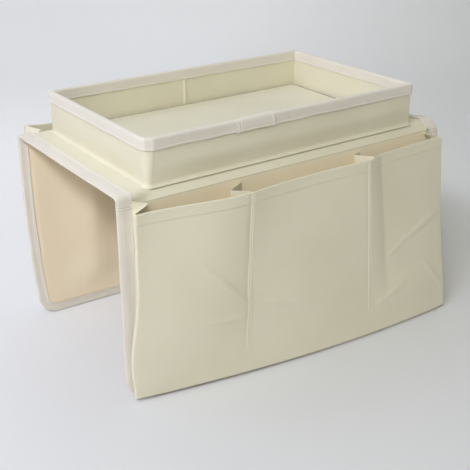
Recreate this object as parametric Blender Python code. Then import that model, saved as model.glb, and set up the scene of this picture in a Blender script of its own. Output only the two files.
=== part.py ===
"""Sofa armrest organizer: a cloth saddle with an open tray on top and a pocket flap down each side.

The saddle lies across the arm of a sofa. Its two flaps turn on the creases along its long edges,
and each flap carries a pocket of three compartments. +X runs along the tray, +Y to the rear.
The origin is on the floor under the middle of the whole organizer.
"""

import math
from collections import namedtuple

import bmesh
import bpy
from mathutils import Vector

# Cloth, board and tape
CLOTH = 0.0006
BOARD = 0.0015
TAPE = 0.0006
SEAM_GAP = 0.0003

# Tray
TRAY_LENGTH = 0.300
TRAY_WIDTH = 0.181
TRAY_HEIGHT = 0.0405
TRAY_CORNER_RADIUS = 0.0075
RIM_TAPE_WIDTH = 0.0105

# Loose board on the tray's floor
INSERT_BOARD = 0.0020
INSERT_CLEARANCE = 0.0012

# Saddle
TRAY_END_MARGIN = 0.0335
TRAY_SIDE_MARGIN = 0.0073
CREASE_RADIUS = 0.0080
CREASE_SLIT = 0.0006
SIDE_TAPE_WIDTH = 0.0165

# Flaps
FLAP_DROP = 0.190
FLAP_CORNER_RADIUS = 0.0180
HEM_TAPE_WIDTH = 0.0098
LINING_FOLD = 0.0024

# Pockets
POCKET_TAPE_LAP = 0.0071
POCKET_LIFT = 0.0030
POCKET_HEM = 0.0120
POCKET_HEM_RAMP = 0.0008
POCKET_SEAM_LIFT = 0.0250
POCKET_BELLY = 0.0030
DRAG_FOLD = 0.0020
DRAG_FOLD_REACH = 0.0120
PLEAT_DEPTH = 0.0035
PLEAT_REACH = 0.0100
DIVIDER_SKEW = 0.0050
DIVIDER_SLACK_TOP = 0.0140
DIVIDER_SLACK_FOOT = 0.0030
GUSSET_FOLD_TOP = 0.0110
GUSSET_FOLD_FOOT = 0.0015

# Shares of a pocket's half width at which its two dividers stand
DIVIDER_SHARES = (-0.375, 0.390)
# Shares of the flap's width at which the lining's soft folds run
LINING_FOLD_SHARES = (-0.62, -0.20, 0.26, 0.66)
LINING_FOLD_REACH_SHARE = 0.13

# How far the hem, the pocket's mouth and its foot stand out from the crease, left, middle and
# right, how far its mouth lies under the saddle's top, and the slanting folds in its panel. Each
# fold runs between two points, in shares of the panel's half width and of its height.
Side = namedtuple("Side", "name sign hem_out mouth_out foot_out mouth_drop drag_fold_shares")
FRONT = Side(
    name="front",
    sign=-1,
    hem_out=(-0.0100, 0.0330, 0.0430),
    mouth_out=(0.0147, 0.0245, 0.0147),
    foot_out=(0.0080, 0.0390, 0.0460),
    mouth_drop=0.0120,
    drag_fold_shares=((-0.76, 0.71, -0.42, 0.40), (-0.33, 0.51, 0.34, 0.13), (0.42, 0.24, 1.0, 0.50)),
)
REAR = Side(
    name="rear",
    sign=1,
    hem_out=(-0.0130, -0.0190, -0.0150),
    mouth_out=(0.0240, 0.0330, 0.0240),
    foot_out=(0.0000, -0.0070, -0.0020),
    mouth_drop=0.0060,
    drag_fold_shares=(),
)

# Mesh fineness
CORNER_STEPS = 4
FLAP_COLUMNS = 12
FLAP_ROWS = 7
COMPARTMENT_COLUMNS = 8
POCKET_ROWS = 12
STRIP_STEPS = 6
SHARP_ANGLE = math.radians(35)

# Sizes that follow from those above
STACK = 2 * CLOTH + BOARD + 2 * SEAM_GAP
BOARD_FACE = CLOTH + SEAM_GAP
LINING_FACE = BOARD_FACE + BOARD + SEAM_GAP
TAPE_REACH = TAPE + SEAM_GAP
HALF_LENGTH = TRAY_LENGTH / 2 + TRAY_END_MARGIN
HALF_WIDTH = TRAY_WIDTH / 2 + TRAY_SIDE_MARGIN
SADDLE_TOP = FLAP_DROP
TRAY_FOOT = SADDLE_TOP + SEAM_GAP
TRAY_TOP = SADDLE_TOP + TRAY_HEIGHT
WALL_TOP = TRAY_TOP - TAPE_REACH
FLAP_TOP = SADDLE_TOP - CREASE_RADIUS - CREASE_SLIT
POCKET_HALF = HALF_LENGTH - SIDE_TAPE_WIDTH + POCKET_TAPE_LAP
POCKET_FLOOR = HEM_TAPE_WIDTH + SEAM_GAP
POCKET_FLOOR_HALF = HALF_LENGTH - max(FLAP_CORNER_RADIUS, SIDE_TAPE_WIDTH + SEAM_GAP)
AXIS_INSET = STACK / 2


def material(name, colour, roughness):
    made = bpy.data.materials.new(name)
    made.use_nodes = True
    shader = made.node_tree.nodes["Principled BSDF"]
    shader.inputs["Base Color"].default_value = (*colour, 1.0)
    shader.inputs["Roughness"].default_value = roughness
    shader.inputs["Metallic"].default_value = 0.0
    return made


def steps(start, end, count):
    """Evenly spaced values from start to end, both of them in."""
    return [start + (end - start) * i / count for i in range(count + 1)]


def blend(a, b, share):
    return a + (b - a) * share


def through_three(values, share):
    """The parabola with the given values at shares -1, 0 and 1."""
    left, middle, right = values
    return middle + (right - left) / 2 * share + ((right + left) / 2 - middle) * share**2


def add_object(name, points, faces, look, pivot):
    """One closed mesh, made from points in the organizer's own frame and carried by its pivot."""
    bm = bmesh.new()
    origin = pivot["place"]
    verts = [bm.verts.new(Vector(p) - origin) for p in points]
    for face in faces:
        bm.faces.new([verts[i] for i in face])
    bmesh.ops.recalc_face_normals(bm, faces=bm.faces)
    mesh = bpy.data.meshes.new(name)
    bm.to_mesh(mesh)
    bm.free()
    mesh.materials.append(look)
    mesh.shade_smooth()
    mesh.set_sharp_from_angle(angle=SHARP_ANGLE)
    made = bpy.data.objects.new(name, mesh)
    bpy.context.scene.collection.objects.link(made)
    made.parent = pivot["empty"]


def slab(name, outer, inner, look, pivot):
    """A sheet between two grids of points with the same rows and columns."""
    rows = len(outer)
    columns = len(outer[0])
    points = [p for grid in (outer, inner) for row in grid for p in row]

    def at(face, row, column):
        return (face * rows + row) * columns + column

    faces = []
    for r in range(rows - 1):
        for c in range(columns - 1):
            for face in (0, 1):
                corners = (r, c), (r, c + 1), (r + 1, c + 1), (r + 1, c)
                faces.append([at(face, *corner) for corner in corners])
        for c in (0, columns - 1):
            faces.append([at(0, r, c), at(0, r + 1, c), at(1, r + 1, c), at(1, r, c)])
    for c in range(columns - 1):
        for r in (0, rows - 1):
            faces.append([at(0, r, c), at(0, r, c + 1), at(1, r, c + 1), at(1, r, c)])
    add_object(name, points, faces, look, pivot)


def sweep(name, sections, caps, look, pivot):
    """A solid through like sections. With no caps its last section joins its first."""
    size = len(sections[0])
    points = [p for section in sections for p in section]
    count = len(sections)
    faces = []
    for s in range(count if not caps else count - 1):
        for k in range(size):
            here = s * size
            there = (s + 1) % count * size
            after = (k + 1) % size
            faces.append([here + k, here + after, there + after, there + k])
    for s in (0, count - 1):
        faces.extend([s * size + k for k in cap] for cap in caps)
    add_object(name, points, faces, look, pivot)


def box(name, low, high, look, pivot):
    """A flat board from its low corner to its high corner."""
    middle = (Vector(low) + Vector(high)) / 2
    bm = bmesh.new()
    bmesh.ops.create_cube(bm, size=1.0)
    bmesh.ops.scale(bm, vec=Vector(high) - Vector(low), verts=bm.verts)
    mesh = bpy.data.meshes.new(name)
    bm.to_mesh(mesh)
    bm.free()
    mesh.materials.append(look)
    made = bpy.data.objects.new(name, mesh)
    bpy.context.scene.collection.objects.link(made)
    made.parent = pivot["empty"]
    made.location = middle - pivot["place"]


def channel(width):
    """The folded tape's section: how far from the bound edge, and how far in from the cover's face."""
    outside = -TAPE_REACH
    inside = STACK + TAPE_REACH
    return [
        (width, outside),
        (0, outside),
        (0, inside),
        (width, inside),
        (width, inside - TAPE),
        (TAPE, inside - TAPE),
        (TAPE, outside + TAPE),
        (width, outside + TAPE),
    ]


def channel_caps():
    """The corners that close an end of the tape: its outer leg, its fold and its inner leg."""
    return (0, 1, 6, 7), (1, 2, 5, 6), (2, 3, 4, 5)


def tray_outline(inset):
    """The tray's rounded rectangle, drawn in by an inset, as (x, y) points."""
    radius = TRAY_CORNER_RADIUS - inset
    centre_x = TRAY_LENGTH / 2 - TRAY_CORNER_RADIUS
    centre_y = TRAY_WIDTH / 2 - TRAY_CORNER_RADIUS
    outline = []
    for corner, (sx, sy) in enumerate(((1, 1), (-1, 1), (-1, -1), (1, -1))):
        for turn in steps(0, math.pi / 2, CORNER_STEPS):
            angle = corner * math.pi / 2 + turn
            x = sx * centre_x + radius * math.cos(angle)
            y = sy * centre_y + radius * math.sin(angle)
            outline.append((x, y))
    return outline


def tray_ring(name, inset, thickness, look, pivot):
    """A cloth wall round the tray."""
    sections = []
    for outer, inner in zip(tray_outline(inset), tray_outline(inset + thickness), strict=True):
        corners = (outer, TRAY_FOOT), (outer, WALL_TOP), (inner, WALL_TOP), (inner, TRAY_FOOT)
        sections.append([(*point, z) for point, z in corners])
    sweep(name, sections, (), look, pivot)


def make_tray(looks, pivot):
    tray_ring("tray_outer_cover", 0, CLOTH, looks["cover"], pivot)
    tray_ring("tray_lining", LINING_FACE, CLOTH, looks["cover"], pivot)
    straight_x = TRAY_LENGTH / 2 - TRAY_CORNER_RADIUS
    straight_y = TRAY_WIDTH / 2 - TRAY_CORNER_RADIUS
    far = TRAY_LENGTH / 2 - BOARD_FACE
    near = far - BOARD
    for name, side in (("tray_left_board", -1), ("tray_right_board", 1)):
        x = sorted((side * near, side * far))
        low = (x[0], -straight_y, TRAY_FOOT)
        box(name, low, (x[1], straight_y, WALL_TOP), looks["board"], pivot)
    far = TRAY_WIDTH / 2 - BOARD_FACE
    near = far - BOARD
    for name, side in (("tray_front_board", -1), ("tray_rear_board", 1)):
        y = sorted((side * near, side * far))
        low = (-straight_x, y[0], TRAY_FOOT)
        box(name, low, (straight_x, y[1], WALL_TOP), looks["board"], pivot)
    rings = [(tray_outline(inward), TRAY_TOP - down) for down, inward in channel(RIM_TAPE_WIDTH)]
    sections = [[(*ring[i], z) for ring, z in rings] for i in range(len(rings[0][0]))]
    sweep("rim_tape", sections, (), looks["tape"], pivot)


def make_insert(looks, pivot):
    """The loose floor board in its cloth sleeve. The sleeve is left open at its right end."""
    half_x = TRAY_LENGTH / 2 - STACK - TAPE_REACH - INSERT_CLEARANCE
    half_y = TRAY_WIDTH / 2 - STACK - TAPE_REACH - INSERT_CLEARANCE
    foot = SADDLE_TOP + SEAM_GAP
    top = foot + 2 * CLOTH + 2 * SEAM_GAP + INSERT_BOARD
    skin = CLOTH + SEAM_GAP
    low = (-half_x + skin, -half_y + skin, foot + skin)
    high = (half_x - skin, half_y - skin, top - skin)
    box("insert_board", low, high, looks["board"], pivot)

    def frame(x, inset):
        y = half_y - inset
        return [
            (x, -y, foot + inset),
            (x, y, foot + inset),
            (x, y, top - inset),
            (x, -y, top - inset),
        ]

    outer_left = frame(-half_x, 0)
    outer_right = frame(half_x, 0)
    inner_right = frame(half_x, CLOTH)
    inner_left = frame(-half_x + CLOTH, CLOTH)
    sections = [outer_left, outer_right, inner_right, inner_left]
    sweep("insert_cover", sections, ((0, 1, 2, 3),), looks["cover"], pivot)


def saddle_path(depth):
    """The sheet at a depth under the cover's face, from the front crease over to the rear, as (y, z)."""
    radius = CREASE_RADIUS - depth
    centre_y = HALF_WIDTH - CREASE_RADIUS
    centre_z = SADDLE_TOP - CREASE_RADIUS
    front = []
    for angle in steps(0, math.pi / 2, CORNER_STEPS):
        y = -centre_y - radius * math.cos(angle)
        z = centre_z + radius * math.sin(angle)
        front.append((y, z))
    return front + [(-y, z) for y, z in reversed(front)]


def saddle_sheet(name, depth, look, pivot):
    edge = HALF_LENGTH - TAPE_REACH
    outer = [[(x, *point) for x in (-edge, edge)] for point in saddle_path(depth)]
    inner = [[(x, *point) for x in (-edge, edge)] for point in saddle_path(depth + CLOTH)]
    slab(name, outer, inner, look, pivot)


def make_saddle(looks, pivot):
    saddle_sheet("top_cover", 0, looks["cover"], pivot)
    saddle_sheet("top_lining", LINING_FACE, looks["lining"], pivot)
    low = (
        -HALF_LENGTH + TAPE_REACH,
        -HALF_WIDTH + CREASE_RADIUS,
        SADDLE_TOP - BOARD_FACE - BOARD,
    )
    high = (HALF_LENGTH - TAPE_REACH, HALF_WIDTH - CREASE_RADIUS, SADDLE_TOP - BOARD_FACE)
    box("top_board", low, high, looks["board"], pivot)
    for name, side in (("left_end_tape", -1), ("right_end_tape", 1)):
        lines = [
            (side * (HALF_LENGTH - inward), saddle_path(depth))
            for inward, depth in channel(SIDE_TAPE_WIDTH)
        ]
        sections = [[(x, *path[i]) for x, path in lines] for i in range(len(lines[0][1]))]
        sweep(name, sections, channel_caps(), looks["tape"], pivot)


def flap_out(side, x, z):
    """How far the flap's outer face stands out from the crease plane."""
    drop_share = (FLAP_TOP - z) / FLAP_TOP
    return through_three(side.hem_out, x / HALF_LENGTH) * drop_share


def flap_point(side, x, z, depth):
    """A point at a depth behind the flap's outer face."""
    return (x, side.sign * (HALF_WIDTH + flap_out(side, x, z) - depth), z)


def flap_rows(inset):
    """Heights and half widths of the flap's grid rows, with its rounded lower corners."""
    radius = FLAP_CORNER_RADIUS - inset
    rows = [(z, HALF_LENGTH - inset) for z in steps(FLAP_TOP, FLAP_CORNER_RADIUS, FLAP_ROWS)]
    for angle in steps(0, math.pi / 2, CORNER_STEPS)[1:]:
        z = FLAP_CORNER_RADIUS - radius * math.sin(angle)
        rows.append((z, HALF_LENGTH - FLAP_CORNER_RADIUS + radius * math.cos(angle)))
    return rows


def flap_column_shares():
    """Column places as shares of a row's half width, with one at each side tape's inner edge."""
    bound = (HALF_LENGTH - SIDE_TAPE_WIDTH) / (HALF_LENGTH - TAPE_REACH)
    return [-1.0, *steps(-bound, bound, FLAP_COLUMNS), 1.0]


def lining_fold(x, z):
    """How far the loose lining stands in from its board. It lies flat at the tape all round."""
    reach = LINING_FOLD_REACH_SHARE * HALF_LENGTH
    lift = 0.0
    for share in LINING_FOLD_SHARES:
        lift = max(lift, 1 - ((x - share * HALF_LENGTH) / reach) ** 2)
    from_edge = HALF_LENGTH - 2 * SIDE_TAPE_WIDTH - abs(x)
    from_top = FLAP_TOP - SIDE_TAPE_WIDTH - z
    from_hem = z - 2 * FLAP_CORNER_RADIUS
    room = min(from_edge, from_top, from_hem) / (2 * SIDE_TAPE_WIDTH)
    return LINING_FOLD * lift * min(max(room, 0.0), 1.0)


def flap_sheet(name, side, face, thickness, look, pivot, fold=None):
    grids = ([], [])
    for z, half in flap_rows(TAPE_REACH):
        for grid, depth in zip(grids, (face, face + thickness), strict=True):
            xs = [share * half for share in flap_column_shares()]
            depths = [depth + (fold(x, z) if fold else 0.0) for x in xs]
            grid.append([flap_point(side, x, z, d) for x, d in zip(xs, depths, strict=True)])
    slab(name, *grids, look, pivot)


def hem_stations(side):
    """Places along the flap's bound edge, left side down, hem across, right side up.

    Each is the edge's point, the inward direction and the tape's width there."""
    stations = []
    radius = FLAP_CORNER_RADIUS
    straight = HALF_LENGTH - radius
    for z in steps(FLAP_TOP, radius, FLAP_ROWS)[:-1]:
        stations.append(((-HALF_LENGTH, z), (1, 0), SIDE_TAPE_WIDTH))
    for i, angle in enumerate(steps(0, math.pi / 2, CORNER_STEPS)):
        inward = (math.cos(angle), math.sin(angle))
        edge = (-straight - radius * inward[0], radius - radius * inward[1])
        width = blend(SIDE_TAPE_WIDTH, HEM_TAPE_WIDTH, i / CORNER_STEPS)
        stations.append((edge, inward, width))
    for x in steps(-straight, 0, FLAP_COLUMNS // 2)[1:-1]:
        stations.append(((x, 0), (0, 1), HEM_TAPE_WIDTH))
    mirrored = [((-x, z), (-u, v), width) for (x, z), (u, v), width in reversed(stations)]
    return [*stations, ((0, 0), (0, 1), HEM_TAPE_WIDTH), *mirrored]


def flap_tape(name, side, look, pivot):
    sections = []
    for (x, z), (u, v), width in hem_stations(side):
        section = []
        for inward, depth in channel(width):
            section.append(flap_point(side, x + u * inward, z + v * inward, depth))
        sections.append(section)
    sweep(name, sections, channel_caps(), look, pivot)


def mouth_height(side):
    return SADDLE_TOP - side.mouth_drop


def divider_places():
    return [share * POCKET_HALF for share in DIVIDER_SHARES]


def pocket_columns():
    edges = [-POCKET_HALF, *divider_places(), POCKET_HALF]
    columns = [-POCKET_HALF]
    for left, right in zip(edges[:-1], edges[1:], strict=True):
        columns.extend(steps(left, right, COMPARTMENT_COLUMNS)[1:])
    return columns


def pocket_rows(side):
    """Heights of the pocket panel's grid rows, foot to mouth."""
    seam_foot = POCKET_LIFT + POCKET_SEAM_LIFT
    hem_foot = mouth_height(side) - POCKET_HEM
    body = steps(seam_foot, hem_foot, POCKET_ROWS)
    return [POCKET_LIFT, POCKET_FLOOR, *body, hem_foot + POCKET_HEM_RAMP, mouth_height(side)]


def drag_fold(side, x, z):
    """How far the panel's slanting folds lift it at a point."""
    lift = 0.0
    height = mouth_height(side) - POCKET_LIFT
    for x0, z0, x1, z1 in side.drag_fold_shares:
        start = Vector((x0 * POCKET_HALF, POCKET_LIFT + z0 * height))
        run = Vector((x1 * POCKET_HALF, POCKET_LIFT + z1 * height)) - start
        offset = Vector((x, z)) - start
        along = offset.dot(run) / run.length_squared
        away = (offset - run * min(max(along, 0.0), 1.0)).length
        lift = max(lift, DRAG_FOLD * math.exp(-((away / DRAG_FOLD_REACH) ** 2)))
    return lift


def pocket_out(side, x, z):
    """How far the pocket panel's outer face stands out from the crease plane."""
    share = x / POCKET_HALF
    height_share = (z - POCKET_LIFT) / (mouth_height(side) - POCKET_LIFT)
    mouth_edge, mouth_middle, _ = side.mouth_out
    mouth = blend(mouth_middle, mouth_edge, share**4)
    foot = through_three(side.foot_out, share)
    edges = [-POCKET_HALF, *divider_places(), POCKET_HALF]
    belly = 0.0
    for left, right in zip(edges[:-1], edges[1:], strict=True):
        if left <= x <= right:
            belly = math.sin(math.pi * (x - left) / (right - left))
    swell = POCKET_BELLY * belly * math.sin(math.pi * height_share)
    from_seam = (x - divider_places()[1]) / PLEAT_REACH
    pleat = PLEAT_DEPTH * math.exp(-((from_seam - 1) ** 2)) * height_share
    return blend(foot, mouth, height_share) + swell - pleat + drag_fold(side, x, z)


def panel_thickness(side, z):
    """One cloth, and two in the folded hem at the mouth."""
    return 2 * CLOTH if z > mouth_height(side) - POCKET_HEM else CLOTH


def pocket_point(side, x, z, depth):
    return (x, side.sign * (HALF_WIDTH + pocket_out(side, x, z) - depth), z)


def make_panel(side, looks, pivot):
    outer = []
    inner = []
    for z in pocket_rows(side):
        outer.append([pocket_point(side, x, z, 0) for x in pocket_columns()])
        thickness = panel_thickness(side, z)
        inner.append([pocket_point(side, x, z, thickness) for x in pocket_columns()])
    slab(f"{side.name}_pocket_panel", outer, inner, looks["cover"], pivot)


def strip_ends(side, x, z):
    """The heights out of the crease plane between which a strip spans the pocket at x."""
    start = flap_out(side, x, z) + SEAM_GAP
    end = pocket_out(side, x, z) - panel_thickness(side, z) - SEAM_GAP
    return start, end


def strip_height(z, share):
    """A row's height at a share of the way. At the flap its top stays under the crease's bend."""
    return blend(min(z, FLAP_TOP - SEAM_GAP), z, share)


def cross_strip(name, side, rows, place, look, pivot):
    """A cloth wall from the flap out to the panel. place(z, share) is its x at a share of the way."""
    faces = ([], [])
    shares = steps(0, 1, STRIP_STEPS)
    for z in rows:
        start, _ = strip_ends(side, place(z, 0.0), strip_height(z, 0.0))
        _, end = strip_ends(side, place(z, 0.0), z)
        line = [Vector((place(z, share), blend(start, end, share))) for share in shares]
        for face, half in zip(faces, (-CLOTH / 2, CLOTH / 2), strict=True):
            row = []
            for i, point in enumerate(line):
                height = strip_height(z, shares[i])
                along = line[min(i + 1, STRIP_STEPS)] - line[max(i - 1, 0)]
                normal = Vector((along.y, -along.x)).normalized()
                if i in (0, STRIP_STEPS):
                    x = point.x + half
                    out = strip_ends(side, x, height)[0 if i == 0 else 1]
                else:
                    x = point.x + half * normal.x
                    out = point.y + half * normal.y
                row.append((x, side.sign * (HALF_WIDTH + out), height))
            face.append(row)
    slab(name, *faces, look, pivot)


def make_dividers(side, looks, pivot):
    rows = pocket_rows(side)[2:]
    for number, seam in enumerate(divider_places(), 1):

        def place(z, share, seam=seam):
            height_share = (z - rows[0]) / (rows[-1] - rows[0])
            slack = blend(DIVIDER_SLACK_FOOT, DIVIDER_SLACK_TOP, height_share)
            straight = blend(seam + DIVIDER_SKEW, seam, share)
            return straight - slack * math.sin(math.pi * share)

        name = f"{side.name}_pocket_divider_{number}"
        cross_strip(name, side, rows, place, looks["cover"], pivot)


def make_gussets(side, looks, pivot):
    """The pocket's pleated ends, folded into it most at the mouth."""
    foot = POCKET_FLOOR + CLOTH + SEAM_GAP
    rows = [foot, *pocket_rows(side)[2:]]
    flap_seam = POCKET_FLOOR_HALF - CLOTH
    panel_seam = POCKET_HALF - CLOTH
    for name, end in (("left", -1), ("right", 1)):

        def place(z, share, end=end):
            height_share = (z - foot) / (rows[-1] - foot)
            fold = blend(GUSSET_FOLD_FOOT, GUSSET_FOLD_TOP, height_share)
            straight = blend(flap_seam, panel_seam, share)
            return end * (straight - fold * (1 - abs(2 * share - 1)))

        cross_strip(f"{side.name}_pocket_{name}_gusset", side, rows, place, looks["cover"], pivot)


def make_pocket_floor(side, looks, pivot):
    """The strip that closes the pocket's foot, just above the hem tape."""
    end = POCKET_FLOOR_HALF
    columns = [-end, *[x for x in pocket_columns() if abs(x) < end], end]
    faces = ([], [])
    for face, z in zip(faces, (POCKET_FLOOR, POCKET_FLOOR + CLOTH), strict=True):
        for end_index in (0, 1):
            row = []
            for x in columns:
                out = strip_ends(side, x, z)[end_index]
                row.append((x, side.sign * (HALF_WIDTH + out), z))
            face.append(row)
    slab(f"{side.name}_pocket_floor", *faces, looks["cover"], pivot)


def make_flap(side, looks, pivot):
    name = f"{side.name}_flap"
    flap_sheet(f"{name}_cover", side, 0, CLOTH, looks["cover"], pivot)
    flap_sheet(f"{name}_stiffener", side, BOARD_FACE, BOARD, looks["board"], pivot)
    flap_sheet(
        f"{name}_lining", side, LINING_FACE, CLOTH, looks["lining"], pivot, fold=lining_fold
    )
    flap_tape(f"{name}_tape", side, looks["tape"], pivot)
    make_gussets(side, looks, pivot)
    make_dividers(side, looks, pivot)
    make_pocket_floor(side, looks, pivot)


def farthest_out(side):
    """How far the pocket panel reaches from the saddle's middle."""
    reach = [pocket_out(side, x, z) for x in pocket_columns() for z in pocket_rows(side)]
    return HALF_WIDTH + max(reach)


def add_pivot(name, place, parent, frame_place):
    """An empty on a joint's axis, or at a body's own origin, which carries that body's pieces."""
    empty = bpy.data.objects.new(name, None)
    empty.empty_display_size = CREASE_RADIUS
    bpy.context.scene.collection.objects.link(empty)
    empty.parent = parent
    empty.location = Vector(place) - frame_place
    return {"empty": empty, "place": Vector(place)}


def pocket_hinge(side):
    """A point on the line on which the pocket panel opens, and the line's direction along +X."""
    left, _, right = side.foot_out
    middle_out = (left + right) / 2 - CLOTH / 2
    place = (0, side.sign * (HALF_WIDTH + middle_out), POCKET_FLOOR + CLOTH / 2)
    direction = Vector((2 * POCKET_HALF, side.sign * (right - left), 0)).normalized()
    return place, direction


def main():
    for old in list(bpy.data.objects):
        bpy.data.objects.remove(old, do_unlink=True)
    looks = {
        "cover": material("cream_cloth", (0.80, 0.78, 0.62), 0.80),
        "lining": material("tan_lining", (0.62, 0.50, 0.34), 0.85),
        "tape": material("white_binding_tape", (0.86, 0.85, 0.83), 0.90),
        "board": material("grey_board", (0.45, 0.42, 0.37), 0.90),
    }
    centre_y = (farthest_out(REAR) - farthest_out(FRONT)) / 2
    frame = add_pivot("organizer", (0, 0, 0), None, Vector((0, centre_y, 0)))
    root = frame["empty"]
    at_origin = Vector((0, 0, 0))
    saddle = add_pivot("saddle_frame", (0, 0, SADDLE_TOP), root, at_origin)
    make_saddle(looks, saddle)
    make_tray(looks, saddle)
    insert = add_pivot("insert_lift", (0, 0, SADDLE_TOP), saddle["empty"], saddle["place"])
    make_insert(looks, insert)
    for side in (FRONT, REAR):
        crease = (0, side.sign * (HALF_WIDTH - AXIS_INSET), SADDLE_TOP - AXIS_INSET)
        name = f"{side.name}_flap_crease"
        flap = add_pivot(name, crease, saddle["empty"], saddle["place"])
        make_flap(side, looks, flap)
        place, direction = pocket_hinge(side)
        hinge = add_pivot(f"{side.name}_pocket_hinge", place, flap["empty"], flap["place"])
        make_panel(side, looks, hinge)
        print(side.name, "crease axis y, z:", round(crease[1] - centre_y, 6), round(crease[2], 6))
        print(side.name, "pocket hinge:", [round(v, 6) for v in place], "less y", round(centre_y, 6))
        print(side.name, "pocket hinge direction:", [round(v, 6) for v in direction])


main()
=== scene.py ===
import math
from functools import partial

import bpy
import numpy as np
from mathutils import Matrix, Vector


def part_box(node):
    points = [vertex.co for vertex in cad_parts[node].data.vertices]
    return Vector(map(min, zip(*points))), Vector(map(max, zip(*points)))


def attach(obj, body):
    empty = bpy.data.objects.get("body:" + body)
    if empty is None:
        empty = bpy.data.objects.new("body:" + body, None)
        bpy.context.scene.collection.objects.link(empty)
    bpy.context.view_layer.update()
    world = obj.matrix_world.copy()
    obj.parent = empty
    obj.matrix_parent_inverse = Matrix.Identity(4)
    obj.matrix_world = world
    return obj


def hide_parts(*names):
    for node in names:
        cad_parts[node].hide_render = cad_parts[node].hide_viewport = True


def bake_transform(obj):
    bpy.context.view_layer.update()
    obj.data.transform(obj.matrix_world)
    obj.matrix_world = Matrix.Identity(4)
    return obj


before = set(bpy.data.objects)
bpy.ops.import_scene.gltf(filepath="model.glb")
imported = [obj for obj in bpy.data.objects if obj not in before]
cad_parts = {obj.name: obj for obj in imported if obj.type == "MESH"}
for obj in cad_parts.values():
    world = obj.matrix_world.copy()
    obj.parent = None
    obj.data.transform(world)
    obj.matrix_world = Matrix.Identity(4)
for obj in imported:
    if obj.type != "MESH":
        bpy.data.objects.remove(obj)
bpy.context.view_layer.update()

# The camera stands at the front left and a little above, at the photograph's viewing angle.
# Its aim is given from the middle of the saddle's top, along the view's own right and up.
tray_low, tray_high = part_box("tray_outer_cover")
middle_y = (tray_low.y + tray_high.y) / 2
saddle_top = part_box("top_cover")[1].z
view_azimuth = math.radians(-35.39)
view_elevation = math.radians(24.65)
eye_distance = 0.8420
aim_right = 0.0019
aim_up = -0.1055
picture_pixels = 470
focal_pixels = 860.1
sensor_width = 36.0

view_back = Vector((
    math.sin(view_azimuth) * math.cos(view_elevation),
    -math.cos(view_azimuth) * math.cos(view_elevation),
    math.sin(view_elevation),
))
view_right = Vector((math.cos(view_azimuth), math.sin(view_azimuth), 0))
view_up = view_back.cross(view_right)
eye = Vector((0, middle_y, saddle_top))
eye += view_back * eye_distance + view_right * aim_right + view_up * aim_up
camera = bpy.data.objects.new("camera", bpy.data.cameras.new("camera"))
bpy.context.scene.collection.objects.link(camera)
camera.data.sensor_width = sensor_width
camera.data.lens = sensor_width * focal_pixels / picture_pixels
view_axes = Matrix((view_right, view_up, view_back)).transposed().to_4x4()
camera.matrix_world = Matrix.Translation(eye) @ view_axes
bpy.context.scene.camera = camera


# The saddle's cover is cream coated cloth, cut as one flat sheet over the top board.
# It runs from one end tape to the other, and bends into the flaps along both long edges.
cloth = 0.0006
seam_gap = 0.0003
half_length = -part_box("left_end_tape")[0].x
half_width = (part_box("top_cover")[1].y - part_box("top_cover")[0].y) / 2
crease_radius = saddle_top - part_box("top_cover")[0].z
tape = 0.0006
tape_reach = tape + seam_gap
board = 0.0015
stack = 2 * cloth + board + 2 * seam_gap
lining_face = stack - cloth
sharp_angle = math.radians(50)


def wire(tree, node, inputs):
    """Gives a node its inputs, which are values or other nodes' outputs."""
    for socket, value in inputs.items():
        if isinstance(value, bpy.types.NodeSocket):
            tree.links.new(value, node.inputs[socket])
        else:
            node.inputs[socket].default_value = value


def add_node(tree, kind, output, inputs, **settings):
    """One of a new node's outputs, for the given inputs and settings."""
    node = tree.nodes.new("ShaderNode" + kind)
    for name, value in settings.items():
        setattr(node, name, value)
    wire(tree, node, inputs)
    return node.outputs[output]


def noise(tree, place, scale, detail):
    """Soft cloudy noise laid out on a place."""
    return add_node(tree, "TexNoise", "Fac", {"Vector": place, "Scale": scale, "Detail": detail})


def share_of(tree, value, low, high, most, **settings):
    """How far a value is from low to high, as a share from 0 to the most."""
    ends = {"Value": value, "From Min": low, "From Max": high, "To Max": most}
    return add_node(tree, "MapRange", "Result", ends, **settings)


def mixed(tree, share, first, second):
    """One colour turned into another by a share."""
    return add_node(tree, "Mix", 2, {0: share, 6: first, 7: second}, data_type="RGBA")


def added(tree, first, second):
    return add_node(tree, "Math", 0, {0: first, 1: second}, operation="ADD")


def bumped(tree, height, strength, relief):
    return add_node(tree, "Bump", "Normal", {"Height": height, "Strength": strength, "Distance": relief})


def new_finish(name):
    """A new material, its nodes, its shader and a place to lay patterns out on."""
    finish = bpy.data.materials.new(name)
    finish.use_nodes = True
    tree = finish.node_tree
    return finish, tree, tree.nodes["Principled BSDF"], tree.nodes.new("ShaderNodeTexCoord").outputs


def thread_waves(tree, cloth_map, pitch, direction):
    """Ridges one pitch apart along the cloth's own width or length."""
    wave_period = math.pi / 10
    ridges = {"Vector": cloth_map, "Scale": wave_period / pitch, "Distortion": 0.6, "Detail": 1.0}
    return add_node(tree, "TexWave", "Fac", ridges, bands_direction=direction)


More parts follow.
